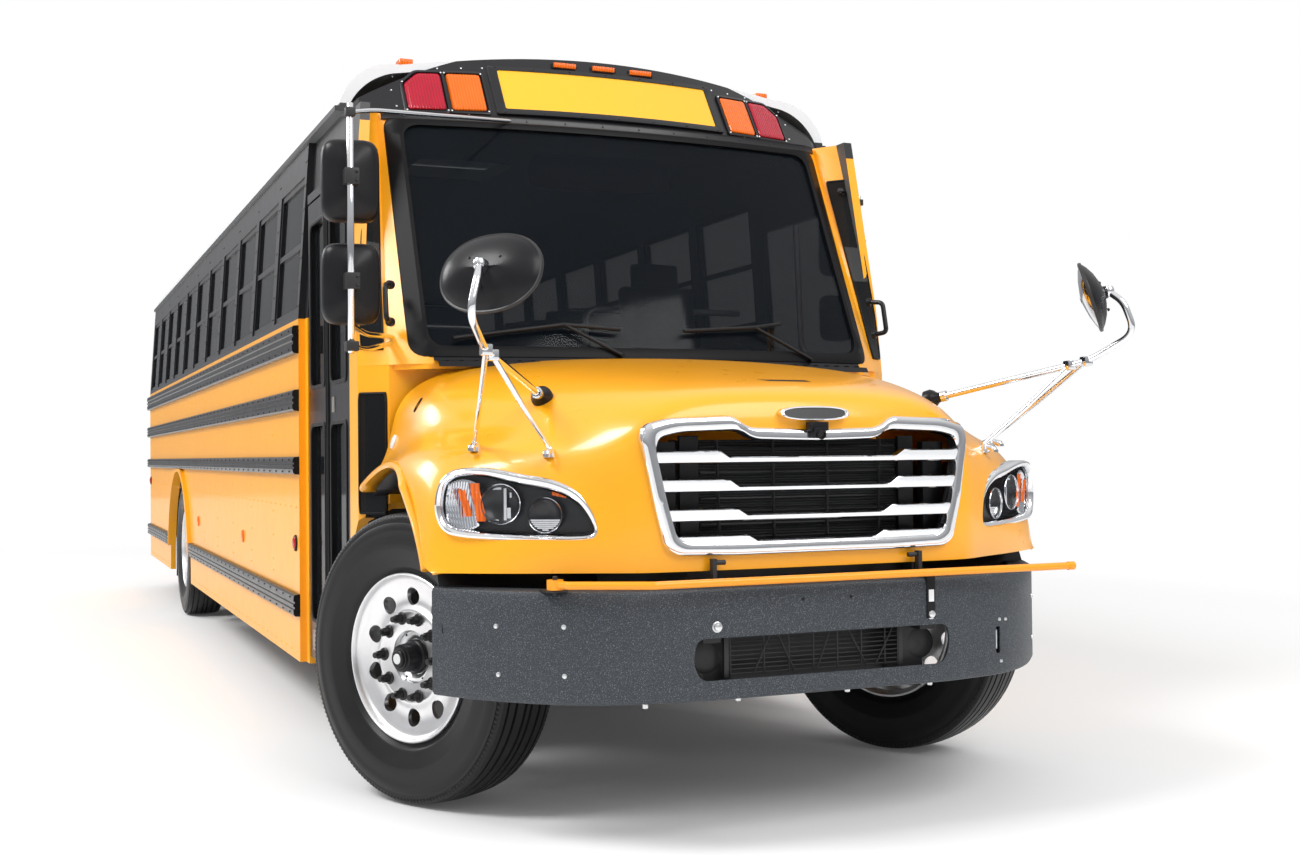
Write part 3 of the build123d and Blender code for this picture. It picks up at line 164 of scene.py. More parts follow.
def bodyPaint(name, blackAbove, postX=None):
    # yellow outside, black window band, dark lining on the faces that look inwards
    finish = Finish(name)
    x, y, z = finish.axes()
    cloud = finish.noise(1.4, 4.0, .6)
    dust = (1.0 - (z / .95).clipped()) * finish.noise(6.0, 6.0, .65) * .35
    yellow = finish.mix(cloud * .5, paintLook["yellow"], paintLook["deepYellow"])
    yellow = finish.mix(dust, yellow, (.34, .22, .1))
    band = z > blackAbove
    if postX is not None:
        band = band * (x < postX + axleX)
    colour = finish.mix(band, yellow, paintLook["black"])
    normalY = finish.axes(finish.node("NewGeometry", {}, {}, "Normal"))[1]
    inward = (normalY * y) < -.2
    colour = finish.mix(inward, colour, paintLook["lining"])
    pitch = .075
    dotX = ((x / pitch).part() - .5) * pitch
    rivetRow = 0.0
    for level in (.78, 1.02, 1.4, 1.7):
        dotZ = z - level
        dot = ((dotX * dotX + dotZ * dotZ) * (1 / .0055 ** 2)).clipped()
        rivetRow = rivetRow + (1.0 - dot)
    skin = finish.bump(rivetRow + finish.noise(240.0, 2.0) * .02 + finish.noise(2.2, 2.0) * .7, .25,
                       .0022)
    return finish.surface({"Base Color": colour,
                           "Roughness": finish.noise(9.0, 5.0) * .14 + .34 + dust * .5,
                           "Coat Weight": .3, "Coat Roughness": .1, "Specular IOR Level": .3,
                           "Normal": skin})


def roofPaint():
    # white roof, its drip rail and lining dark
    finish = Finish("roofPaint")
    height = finish.axes()[2]
    white = finish.mix(finish.noise(1.7, 4.0, .6) * .6, (.8, .81, .82), (.72, .735, .75))
    colour = finish.mix(height < 2.735, white, paintLook["black"])
    normalZ = finish.axes(finish.node("NewGeometry", {}, {}, "Normal"))[2]
    colour = finish.mix(normalZ < -.3, colour, (.16, .17, .17))
    skin = finish.bump(finish.noise(260.0, 2.0) * .1 + finish.noise(2.5, 2.0), .12, .002)
    return finish.surface({"Base Color": colour, "Roughness": finish.noise(9.0, 5.0) * .14 + .34,
                           "Coat Weight": .25, "Coat Roughness": .12, "Normal": skin})


def metal(name, colour, rough, streak=None, grime=0.0):
    finish = Finish(name)
    base = finish.mix(finish.noise(18.0, 5.0, .65) * (.35 + grime), colour,
                      tuple(c * .72 for c in colour))
    if streak:
        x, y, z = finish.axes()
        grain = finish.node("CombineXYZ", {}, {0: x * streak[0], 1: y * streak[1], 2: z * streak[2]})
        height = finish.noise(1.0, 2.0, .5, grain)
    else:
        height = finish.noise(40.0, 2.0)
    skin = finish.bump(height, .06, .001)
    return finish.surface({"Base Color": base, "Metallic": 1.0, "Normal": skin,
                           "Roughness": finish.noise(24.0, 5.0) * .16 + max(.01, rough - .06)})


def plastic(name, colour, rough, grain=400.0, depth=.12):
    finish = Finish(name)
    base = finish.mix(finish.noise(11.0, 5.0, .65) * .6, colour, tuple(c * .7 + .006 for c in colour))
    skin = finish.bump(finish.noise(grain, 3.0, .6), depth, .0006)
    return finish.surface({"Base Color": base, "Roughness": finish.noise(14.0, 4.0) * .2 + (rough - .1),
                           "Normal": skin, "Specular IOR Level": .26})


def bumperCoat():
    # dark blue-grey spatter coating with pale specks
    finish = Finish("bumperCoat")
    speck = finish.node("TexVoronoi", {}, {"Vector": finish.place(), "Scale": 330.0})
    fleck = (finish.noise(300.0, 2.0, .7) > .6) * .6
    base = finish.mix(finish.noise(5.0, 5.0) * .5, (.018, .023, .03), (.03, .037, .046))
    base = finish.mix(fleck, base, (.2, .23, .26))
    skin = finish.bump(speck + finish.noise(180.0, 3.0), .5, .0016)
    return finish.surface({"Base Color": base, "Roughness": finish.noise(60.0) * .25 + .42, "Normal": skin,
                           "Coat Weight": .15, "Coat Roughness": .3})


def rubber(name):
    finish = Finish(name)
    wear = finish.noise(7.0, 6.0, .7)
    base = finish.mix(wear * .8, (.006, .006, .007), (.017, .017, .018))
    skin = finish.bump(finish.noise(320.0, 3.0) + finish.noise(50.0) * .5, .14, .0012)
    return finish.surface({"Base Color": base, "Roughness": wear * .22 + .3, "Normal": skin,
                           "Specular IOR Level": .3})


def tinted(name, colour, alpha, rough=.03):
    # dark glass, see-through by alpha so that it stays clear in every viewer
    finish = Finish(name)
    smear = finish.noise(3.0, 5.0, .6)
    base = finish.mix(smear * .5, colour, tuple(c * 1.5 + .003 for c in colour))
    return finish.surface({"Base Color": base, "Roughness": smear * .03 + rough, "Alpha": alpha,
                           "Specular IOR Level": .14})


def lens(name, colour, glow, ribs=(0.0, 520.0, 0.0)):
    finish = Finish(name)
    x, y, z = finish.axes()
    line = (x * ribs[0] + y * ribs[1] + z * ribs[2]).wave()
    blotch = finish.noise(13.0, 3.0)
    base = finish.mix(blotch * .4 + line * .2 + .2, colour, tuple(c * .45 for c in colour))
    return finish.surface({"Base Color": base, "Roughness": .16, "Normal": finish.bump(line, .6, .0012),
                           "Coat Weight": .2, "Coat Roughness": .05, "Specular IOR Level": .3,
                           "Emission Color": base, "Emission Strength": glow})


def finCore(name):
    # cooler core: fine tubes across, close fins down
    finish = Finish(name)
    across, up = finish.axes()[1:]
    tubes = (up * 700.0).wave()
    fins = (across * 2600.0).wave()
    base = finish.mix((tubes * .5 + .5) * .8, (.01, .011, .012), (.05, .052, .055))
    return finish.surface({"Base Color": base, "Roughness": .5 + finish.noise(8.0) * .2, "Metallic": .4,
                           "Normal": finish.bump(tubes + fins * .4, .6, .003)})


def vinyl(name, colour):
    finish = Finish(name)
    crease = finish.node("TexVoronoi", {"feature": "DISTANCE_TO_EDGE"},
                         {"Vector": finish.place(), "Scale": 170.0})
    base = finish.mix(finish.noise(6.0, 6.0, .6) * .7, colour, tuple(c * .6 for c in colour))
    skin = finish.bump((crease * 3.0).clipped() + finish.noise(26.0) * .8, .35, .0012)
    return finish.surface({"Base Color": base, "Roughness": finish.noise(12.0) * .2 + .38, "Normal": skin})


def ribbedFloor():
    finish = Finish("ribbedFloor")
    rib = (finish.axes()[1] * 330.0).wave()
    base = finish.mix(finish.noise(4.0, 6.0) * .7, (.022, .022, .023), (.055, .052, .048))
    return finish.surface({"Base Color": base, "Roughness": finish.noise(9.0) * .3 + .5,
                           "Normal": finish.bump(rib, .3, .002)})


look = {
    "wall": bodyPaint("sidePaint", 1.885, -.545),
    "yellow": painted("busYellow", paintLook["yellow"], paintLook["deepYellow"], .3, .55),
    "rear": bodyPaint("rearPaint", 1.9),
    "roof": roofPaint(),
    "white": painted("roofWhite", (.8, .81, .82), (.72, .735, .75), .36, .4),
    "black": painted("trimBlack", (.006, .006, .008), (.011, .011, .013), .3, .1),
    "satin": painted("satinBlack", (.016, .016, .018), (.028, .027, .026), .5, .1, .05),
    "bumper": bumperCoat(),
    "chrome": metal("chromePlate", (.9, .91, .93), .07),
    "alloy": metal("polishedAlloy", (.84, .84, .85), .34, (30.0, 30.0, 30.0)),
    "steel": metal("dullSteel", (.42, .4, .37), .42, None, .4),
    "tank": metal("brushedTank", (.55, .56, .57), .34, (2.0, 60.0, 240.0)),
    "bolt": metal("boltZinc", (.78, .79, .8), .3),
    "tyre": rubber("tyreRubber"),
    "rubber": plastic("sealRubber", (.006, .006, .007), .55),
    "plastic": plastic("blackPlastic", (.008, .008, .01), .34, 700.0, .12),
    "dash": plastic("dashPlastic", (.045, .05, .052), .6, 500.0, .25),
    "nut": plastic("nutBlack", (.02, .019, .02), .32, 200.0, .05),
    "screen": tinted("screenGlass", (.003, .005, .008), .55),
    "glass": tinted("sideGlass", (.008, .009, .01), .7),
    "frit": tinted("glassEdge", (.003, .003, .004), 1.0, .42),
    "dark": tinted("cornerGlass", (.008, .009, .01), .93),
    "clear": tinted("lampCover", (.12, .13, .14), .07),
    "mirror": metal("mirrorGlass", (.8, .82, .84), .05),
    "red": lens("redLens", (.5, .004, .028), .05),
    "amber": lens("amberLens", (.95, .17, .008), .12),
    "markerRed": lens("markerRed", (.55, .01, .02), .08, (520.0, 0.0, 0.0)),
    "cup": metal("lampBowl", (.86, .88, .92), .1),
    "signYellow": painted("signYellow", (1.0, .5, .012), (.93, .43, .01), .4, .5),
    "signRed": painted("signRed", (.52, .008, .01), (.42, .006, .008), .4, .3),
    "signWhite": painted("signWhite", (.78, .78, .77), (.68, .68, .67), .4, .2),
    "core": finCore("coolerCore"),
    "seat": vinyl("seatVinyl", (.02, .03, .034)),
    "driverSeat": vinyl("driverVinyl", (.018, .019, .02)),
    "floor": ribbedFloor(),
    "armYellow": painted("armYellow", (.98, .36, .008), (.9, .29, .006), .35, .4),
}
print("finishes made")


bodyShape = {"wallY": 1.219, "rearX": -9.972, "beltZ": 1.885, "roofZ": 2.7, "lean": .054, "doorY": -1.185,
             "firstPost": -1.545, "windowPitch": .762, "rearAxle": -7.06}


# mesh helpers
def at(x, y, z):
    return Vector((x + axleX, y, z))


def sideX(windows):
    # x after a number of side windows
    return bodyShape["firstPost"] - bodyShape["windowPitch"] * windows


def wallY(z):
    # half-width of the side wall, which leans in above the belt
    share = max(0.0, z - bodyShape["beltZ"]) / (bodyShape["roofZ"] - bodyShape["beltZ"])
    return bodyShape["wallY"] - share * bodyShape["lean"]


def turned(radius, turn, y):
    # point on a circle about the y axis
    return Vector((math.cos(turn) * radius, y, math.sin(turn) * radius))


def linked(name, data):
    made = bpy.data.objects.new(name, data)
    bpy.context.scene.collection.objects.link(made)
    return made


def dress(mesh, finish, flat):
    # materials, and smooth shading up to the angle flat
    for material in finish if isinstance(finish, list) else [finish]:
        mesh.materials.append(look[material])
    if flat:
        mesh.shade_smooth()
        mesh.set_sharp_from_angle(angle=flat)


def piece(name, shape, finish, body, flat=.55):
    # a named piece on a body, from a bmesh or a mesh
    mesh = meshOf(shape, name) if isinstance(shape, bmesh.types.BMesh) else shape
    made = linked(name, mesh)
    dress(mesh, finish, flat)
    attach(made, body)
    return made


def meshOf(bm, name):
    bmesh.ops.recalc_face_normals(bm, faces=bm.faces)
    mesh = bpy.data.meshes.new(name)
    bm.to_mesh(mesh)
    bm.free()
    return mesh


def addGrid(bm, rows, closedRows=False, closedCols=False, slot=0):
    # faces between rows of points
    grid = [[bm.verts.new(point) for point in row] for row in rows]
    rowCount = len(grid) if closedRows else len(grid) - 1
    for i in range(rowCount):
        a, b = grid[i], grid[(i + 1) % len(grid)]
        colCount = len(a) if closedCols else len(a) - 1
        for j in range(colCount):
            k = (j + 1) % len(a)
            bm.faces.new((a[j], a[k], b[k], b[j])).material_index = slot
    return grid


def addLathe(bm, profile, centre, axis, segments, slot=0, closed=False):
    # profile of (along the axis, radius) turned about it
    axis = Vector(axis).normalized()
    side = axis.orthogonal().normalized()
    other = axis.cross(side)
    rows = []
    for step in range(segments):
        turn = 2 * math.pi * step / segments
        out = side * math.cos(turn) + other * math.sin(turn)
        rows.append([Vector(centre) + axis * along + out * max(radius, .0001) for along, radius in profile])
    addGrid(bm, rows, True, closed, slot)


def addBar(bm, start, end, radius, sides=8):
    start, end = Vector(start), Vector(end)
    length = (end - start).length
    edge = min(radius * .3, length * .2)
    profile = [(0, 0), (0, radius - edge), (edge, radius), (length - edge, radius), (length, radius - edge),
               (length, 0)]
    addLathe(bm, profile, start, end - start, sides)


def addBox(bm, low, high, edge):
    # box with chamfered edges
    low, high = Vector(low), Vector(high)
    made = bmesh.ops.create_cube(bm, size=1.0)
    middle = (low + high) / 2
    size = high - low
    for vert in made["verts"]:
        vert.co = vert.co * size + middle
    edges = list({e for v in made["verts"] for e in v.link_edges})
    bmesh.ops.bevel(bm, geom=edges, offset=edge, segments=2, affect="EDGES", profile=.7)


def addDome(bm, point, normal, radius, height, sides=8):
    profile = [(-height * .5, radius), (height * .45, radius * .92), (height * .85, radius * .6),
               (height, 0)]
    addLathe(bm, profile, point, normal, sides)


def cornerArc(a, b, c, radius, steps):
    # the corner at b turned into an arc
    reach = min(radius, (a - b).length * .45, (c - b).length * .45)
    start, end = b + (a - b).normalized() * reach, b + (c - b).normalized() * reach
    shares = [step / steps for step in range(steps + 1)]
    return [start * (1 - t) ** 2 + b * 2 * t * (1 - t) + end * t * t for t in shares]


def roundedPath(points, radius, steps=6):
    points = [Vector(p) for p in points]
    out = [points[0]]
    for a, b, c in zip(points, points[1:], points[2:]):
        out += cornerArc(a, b, c, radius, steps)
    return out + [points[-1]]


def wayAlong(path, i):
    # direction of the path at its point i
    return (path[min(i + 1, len(path) - 1)] - path[max(i - 1, 0)]).normalized()


def addTube(bm, path, radius, sides):
    # round tube along a path, closed at its ends
    path = [Vector(p) for p in path]
    rows = []
    normal = (path[1] - path[0]).orthogonal().normalized()
    for i, point in enumerate(path):
        tangent = wayAlong(path, i)
        normal = (normal - tangent * normal.dot(tangent)).normalized()
        other = tangent.cross(normal)
        rows.append([point + (normal * math.cos(a) + other * math.sin(a)) * radius
                     for a in [2 * math.pi * k / sides for k in range(sides)]])
    rows = [[path[0]] * sides] + rows + [[path[-1]] * sides]
    addGrid(bm, rows, False, True)
    bmesh.ops.remove_doubles(bm, verts=bm.verts, dist=.00001)


def placeOf(origin, xAxis, yAxis):
    xAxis, yAxis = Vector(xAxis).normalized(), Vector(yAxis).normalized()
    zAxis = xAxis.cross(yAxis).normalized()
    yAxis = zAxis.cross(xAxis)
    matrix = Matrix((xAxis, yAxis, zAxis)).transposed().to_4x4()
    matrix.translation = Vector(origin)
    return matrix


def superOval(halfU, halfV, power, steps, extra=0):
    # rounded rectangle that a power between 2 (oval) and 7 (nearly square) sets
    out = []
    for k in range(steps + extra):
        a = 2 * math.pi * k / steps
        c, s = math.cos(a), math.sin(a)
        out.append((halfU * math.copysign(abs(c) ** (2 / power), c),
                    halfV * math.copysign(abs(s) ** (2 / power), s)))
    return out


def denser(ring, countOf):
    # closed outline with each edge cut into the number of steps that countOf gives for its ends
    out = []
    for i, a in enumerate(ring):
        b = ring[(i + 1) % len(ring)]
        count = countOf(a, b)
        out += [(a[0] + (b[0] - a[0]) * k / count, a[1] + (b[1] - a[1]) * k / count) for k in range(count)]
    return out


def splineSpan(a, b, c, d, steps):
    # smooth curve from b up to c, which a and d steer
    shares = [step / steps for step in range(steps)]
    return [.5 * ((2 * b) + (c - a) * t + (2 * a - 5 * b + 4 * c - d) * t * t
                  + (3 * b - a - 3 * c + d) * t ** 3) for t in shares]


def smoothLoop(points, steps):
    # closed curve through the points
    count = len(points)
    out = []
    for i in range(count):
        out += splineSpan(*(Vector(points[(i + k) % count]) for k in (-1, 0, 1, 2)), steps)
    return out


def smoothLine(points, steps):
    # open curve through the points
    points = [Vector(p) for p in points]
    full = [2 * points[0] - points[1]] + points + [2 * points[-1] - points[-2]]
    out = []
    for i in range(1, len(full) - 2):
        out += splineSpan(*full[i - 1:i + 3], steps)
    return out + [points[-1]]


def frozen(base):
    # mesh of an object with its modifiers applied
    shown = base.evaluated_get(bpy.context.evaluated_depsgraph_get())
    return bpy.data.meshes.new_from_object(shown)


def cutWith(mesh, cutters):
    # the mesh with solid cutters taken out of it
    base = linked("cutBase", mesh)
    helpers = [linked(f"cutter{place}", cutter) for place, cutter in enumerate(cutters)]
    for place, helper in enumerate(helpers):
        step = base.modifiers.new(f"cut{place}", "BOOLEAN")
        step.operation = "DIFFERENCE"
        step.solver = "EXACT"
        step.object = helper
    bpy.context.view_layer.update()
    result = frozen(base)
    for helper in helpers + [base]:
        bpy.data.objects.remove(helper)
    result.materials.clear()
    return result


def evaluated(mesh, steps):
    # the mesh after a list of (modifier type, settings)
    base = linked("stepBase", mesh)
    for place, (kind, settings) in enumerate(steps):
        step = base.modifiers.new(f"step{place}", kind)
        for name, value in settings.items():
            setattr(step, name, value)
    bpy.context.view_layer.update()
    result = frozen(base)
    bpy.data.objects.remove(base)
    return result


# finishes of the CAD nodes, by look
nodeLook = {
    "satin": ["chassis_frame", "engine_block", "front_axle", "rear_axle", "knuckle_left", "knuckle_right"],
    "wall": ["side_wall_left", "side_wall_right"],
    "rear": ["rear_wall", "rear_door"],
    "yellow": ["cowl_frame", "hood_shell"],
    "bumper": ["front_bumper"],
    "chrome": ["grille", "headlamps"],
    "roof": ["roof_shell"],
    "white": ["roof_hatch_front", "roof_hatch_rear"],
    "black": ["front_cap", "window_sashes", "rub_rails", "rear_bumper", "door_front_leaf", "door_rear_leaf",
              "stop_arm_base"],
    "screen": ["windshield"],
    "glass": ["side_glass", "door_front_glass", "door_rear_glass", "rear_door_glass"],
    "red": ["tail_lamps"],
    "plastic": ["wipers"],
    "dash": ["dashboard"],
    "rubber": ["mud_flaps"],
    "armYellow": ["crossing_arm"],
    "signRed": ["stop_arm"],
    "floor": ["body_floor"],
    "steel": ["exhaust_pipe"],
    "tank": ["fuel_tank"],
    "core": ["radiator_pack"],
}
for finishName, nodes in nodeLook.items():
    for node in nodes:
        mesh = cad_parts[node].data
        mesh.materials.clear()
        mesh.materials.append(look[finishName])
print("frame finishes set")


# camera, light and floor
shot = {"place": (9.6833, -2.3936, 1.2437), "yaw": -.403599, "pitch": .016683, "roll": -.010179,
        "focalPixels": 1473.8, "imageWidth": 1300}


def makeCamera():
    yaw, pitch, roll = shot["yaw"], shot["pitch"], shot["roll"]
    ahead = Vector((-math.cos(yaw) * math.cos(pitch), -math.sin(yaw) * math.cos(pitch), math.sin(pitch)))
    right = Vector((-math.sin(yaw), math.cos(yaw), 0))
    up = right.cross(ahead)
    rolledRight = right * math.cos(roll) + up * math.sin(roll)
    rolledUp = up * math.cos(roll) - right * math.sin(roll)
    data = bpy.data.cameras.new("shotCamera")
    data.sensor_width = 36
    data.lens = shot["focalPixels"] * 36 / shot["imageWidth"]
    data.clip_end = 200
    camera = linked("shotCamera", data)
    matrix = Matrix((rolledRight, rolledUp, -ahead)).transposed().to_4x4()
    matrix.translation = Vector(shot["place"])
    camera.matrix_world = matrix
    bpy.context.scene.camera = camera


studio = {"sky": .86, "key": 620.0, "keyPlace": (12.5, 2.5, 8.5), "fill": 1050.0,
          "fillPlace": (4.5, -9.5, 11.0), "rear": 520.0, "rearPlace": (-9.0, -9.0, 8.0)}


def areaLight(name, place, target, size, power):
    data = bpy.data.lights.new(name, "AREA")
    data.shape = "RECTANGLE"
    data.size, data.size_y = size
    data.energy = power
    lamp = linked(name, data)
    lamp.location = place
    lamp.rotation_mode = "QUATERNION"
    lamp.rotation_quaternion = (Vector(target) - Vector(place)).to_track_quat("-Z", "Y")


def makeStudio():
    scene = bpy.context.scene
    scene.view_settings.view_transform = "Standard"
    world = bpy.data.worlds.new("studioSky")
    scene.world = world
    sky = Finish("studioSky", world)
    up = sky.axes(sky.node("TexCoord", {}, {}, "Generated"))[2]
    shade = sky.node("ValToRGB", {"stops": ((.02, (.33, .335, .35)), (.75, (1, 1, 1)))}, {0: up})
    soft = sky.node("Background", {}, {"Color": shade, "Strength": studio["sky"]})
    plain = sky.node("Background", {}, {"Color": (1, 1, 1), "Strength": 1.0})
    rays = [sky.node("LightPath", {}, {}, f"Is {kind} Ray") for kind in ("Camera", "Transmission")]
    seen = sky.node("Math", {"operation": "MAXIMUM"}, dict(enumerate(rays)))
    sky.feed(sky.end.inputs["Surface"], sky.node("MixShader", {}, {0: seen, 1: soft, 2: plain}))
    areaLight("keyLight", studio["keyPlace"], (3.5, 0, 1.2), (7, 6), studio["key"])
    areaLight("fillLight", studio["fillPlace"], (2.0, -.5, 1.0), (4, 4), studio["fill"])
    areaLight("rearLight", studio["rearPlace"], (-4, 0, 1.5), (6, 4), studio["rear"])


def makeFloor():
    # pale floor that fades into the white surround
    bm = bmesh.new()
    reach = 40
    addGrid(bm, [[Vector((x, y, 0)) for x in range(-reach, reach + 1, 8)]
                 for y in range(-reach, reach + 1, 8)])
    mesh = meshOf(bm, "studioFloor")
    finish = Finish("studioFloor")
    x, y = finish.axes()[:2]
    far = ((x * x * .35 + y * y) / 60.0).clipped()
    grey = finish.mix(finish.noise(40.0, 6.0) * .3, (.93, .93, .93), (.89, .89, .89))
    ground = finish.node("BsdfPrincipled", {}, {"Base Color": grey, "Roughness": .85})
    bare = finish.node("Emission", {}, {"Color": (1.0, 1.0, 1.0), "Strength": 1.0})
    blend = finish.node("MixShader", {}, {0: (far * far * .97 + .03).clipped(), 1: ground, 2: bare})
    finish.feed(finish.end.inputs["Surface"], blend)
    mesh.materials.append(finish.material)
    floor = linked("studioFloor", mesh)


makeCamera()
makeStudio()
makeFloor()
print("studio made")


# hood
hoodLook = {"thickness": .012, "archCentre": (.06, .59), "archRadius": .625}
# half of the hood's cage, from the rear seam to the nose
# each row runs from the middle out to the fender's foot
hoodCage = [
    [(-.075, 0, 1.628), (-.085, .38, 1.622), (-.13, .72, 1.6), (-.17, .93, 1.565), (-.24, 1.045, 1.49),
     (-.27, 1.085, 1.38), (-.27, 1.1, 1.25), (-.27, 1.18, 1.14), (-.27, 1.195, 1.0), (-.27, 1.195, .9)],
    [(.1, 0, 1.612), (.1, .4, 1.604), (.1, .72, 1.578), (.1, .9, 1.535), (.1, 1.02, 1.455),
     (.1, 1.06, 1.365), (.1, 1.1, 1.3), (.1, 1.17, 1.245), (.1, 1.203, 1.13), (.1, 1.203, .9)],
    [(.35, 0, 1.582), (.35, .4, 1.573), (.35, .68, 1.545), (.35, .85, 1.49), (.35, .95, 1.405),
     (.35, 1.01, 1.34), (.35, 1.08, 1.3), (.35, 1.155, 1.255), (.36, 1.203, 1.14), (.38, 1.207, .9)],
    [(.6, 0, 1.545), (.6, .38, 1.536), (.6, .62, 1.505), (.6, .76, 1.445), (.6, .85, 1.372),
     (.59, .94, 1.318), (.57, 1.03, 1.288), (.56, 1.115, 1.245), (.57, 1.18, 1.14), (.54, 1.203, .9)],
    [(.83, 0, 1.505), (.83, .33, 1.497), (.83, .54, 1.468), (.83, .66, 1.412), (.82, .74, 1.345),
     (.8, .83, 1.298), (.74, .945, 1.265), (.67, 1.06, 1.225), (.655, 1.165, 1.1), (.6, 1.2, .895)],
    [(1.0, 0, 1.464), (1.0, .32, 1.457), (.995, .49, 1.43), (.985, .6, 1.37), (.95, .67, 1.31),
     (.9, .755, 1.262), (.83, .87, 1.235), (.735, 1.03, 1.195), (.685, 1.15, 1.05), (.635, 1.195, .89)],
    [(1.075, 0, 1.405), (1.07, .31, 1.4), (1.062, .5, 1.372), (1.045, .61, 1.29), (1.005, .668, 1.24),
     (.955, .74, 1.2), (.885, .85, 1.175), (.785, 1.01, 1.13), (.705, 1.14, 1.0), (.655, 1.19, .88)],
    [(1.088, 0, 1.1), (1.083, .32, 1.1), (1.075, .5, 1.08), (1.062, .605, 1.06), (1.03, .66, 1.05),
     (.985, .73, 1.04), (.92, .84, 1.02), (.812, 1.005, 1.0), (.725, 1.125, .93), (.668, 1.187, .875)],
    [(1.08, 0, .873), (1.075, .32, .873), (1.07, .5, .873), (1.058, .6, .873), (1.03, .66, .873),
     (.985, .73, .873), (.92, .84, .872), (.82, 1.0, .871), (.74, 1.115, .871), (.68, 1.183, .871)],
]
lampPlace = {"outer": (.705, 1.16), "inner": (.965, .715), "z": 1.092}
# outline of the headlamp's bezel in its own plane: along from the middle towards the grille, height
bezelOuter = [(-.28, 1.09), (-.268, 1.148), (-.244, 1.182), (-.205, 1.203), (-.126, 1.208), (-.06, 1.2),
              (.007, 1.187), (.065, 1.178), (.123, 1.164), (.19, 1.132), (.238, 1.079), (.263, 1.014),
              (.253, .98), (.215, .968), (.15, .967), (.046, .969), (-.078, .975), (-.204, .987),
              (-.25, 1.006), (-.272, 1.041)]
bezelInner = [(-.254, 1.09), (-.244, 1.144), (-.219, 1.171), (-.18, 1.182), (-.11, 1.178), (-.043, 1.163),
              (.023, 1.147), (.081, 1.136), (.131, 1.122), (.18, 1.096), (.213, 1.058), (.236, 1.014),
              (.226, .997), (.171, .993), (.09, .994), (0.0, .997), (-.078, 1.001), (-.178, 1.009),
              (-.228, 1.024), (-.247, 1.05)]


def lampMatrix(side, proud):
    outer = at(lampPlace["outer"][0], side * lampPlace["outer"][1], lampPlace["z"])
    inner = at(lampPlace["inner"][0], side * lampPlace["inner"][1], lampPlace["z"])
    along = (inner - outer).normalized()
    matrix = placeOf((outer + inner) / 2, along, (0, 0, 1))
    out = Vector((abs(along.y), side * along.x, 0))
    matrix.translation += out * proud
    return matrix, out


def lampPoint(side, along, height, proud):
    matrix = lampMatrix(side, proud)[0]
    return matrix @ Vector((along, height - lampPlace["z"], 0))


def outlineCutter(loop):
    # loop gives (front point, back point) pairs round an opening
    bm = bmesh.new()
    addGrid(bm, [[a for a, b in loop], [b for a, b in loop]], False, True)
    bmesh.ops.holes_fill(bm, edges=bm.edges)
    return meshOf(bm, "outlineCutter")


def cylinderCutter(centre, radius, y0, y1):
    steps = 72
    ring = [(centre[0] + radius * math.cos(2 * math.pi * k / steps),
             centre[1] + radius * math.sin(2 * math.pi * k / steps)) for k in range(steps)]
    return outlineCutter([(at(x, y0, z), at(x, y1, z)) for x, z in ring])


def roundedCorners(points, radius, steps=5):
    # closed outline with each corner rounded
    out = []
    count = len(points)
    for i in range(count):
        a, b, c = (Vector((*points[(i + k) % count], 0)) for k in (-1, 0, 1))
        out += [(point.x, point.y) for point in cornerArc(a, b, c, radius, steps)]
    return out


grilleShape = {
    "frontX": 1.096, "radius": .045, "middleZ": 1.135,
    # the frame's section: inset, depth
    "frame": ((-.004, -.04), (-.004, -.006), (0, .004), (.005, .008), (.012, .01), (.03, .009),
              (.035, .006), (.038, 0), (.039, -.04)),
    # each bar: middle z at its ends, step y, drop in the middle, half-length
    "bars": ((1.231, .345, .02, .562), (1.14, .315, .022, .548), (1.047, .288, .02, .534),
             (.962, .252, .018, .512)),
}
# outer outline of the grille's frame, seen from ahead: y, z
grilleOuter = [(0, 1.319), (.118, 1.322), (.242, 1.326), (.296, 1.364), (.515, 1.355), (.588, 1.335),
               (.603, 1.29), (.566, 1.08), (.533, .95), (.495, .926), (.3, .921), (0, .922)]
grilleOuter = grilleOuter + [(-y, z) for y, z in reversed(grilleOuter[1:-1])]


def ventOutline():
    return roundedCorners([(-.106, .836), (-.06, .882), (.098, .888), (.106, .88), (.1, .842),
                           (-.05, .842)], .006, 3)


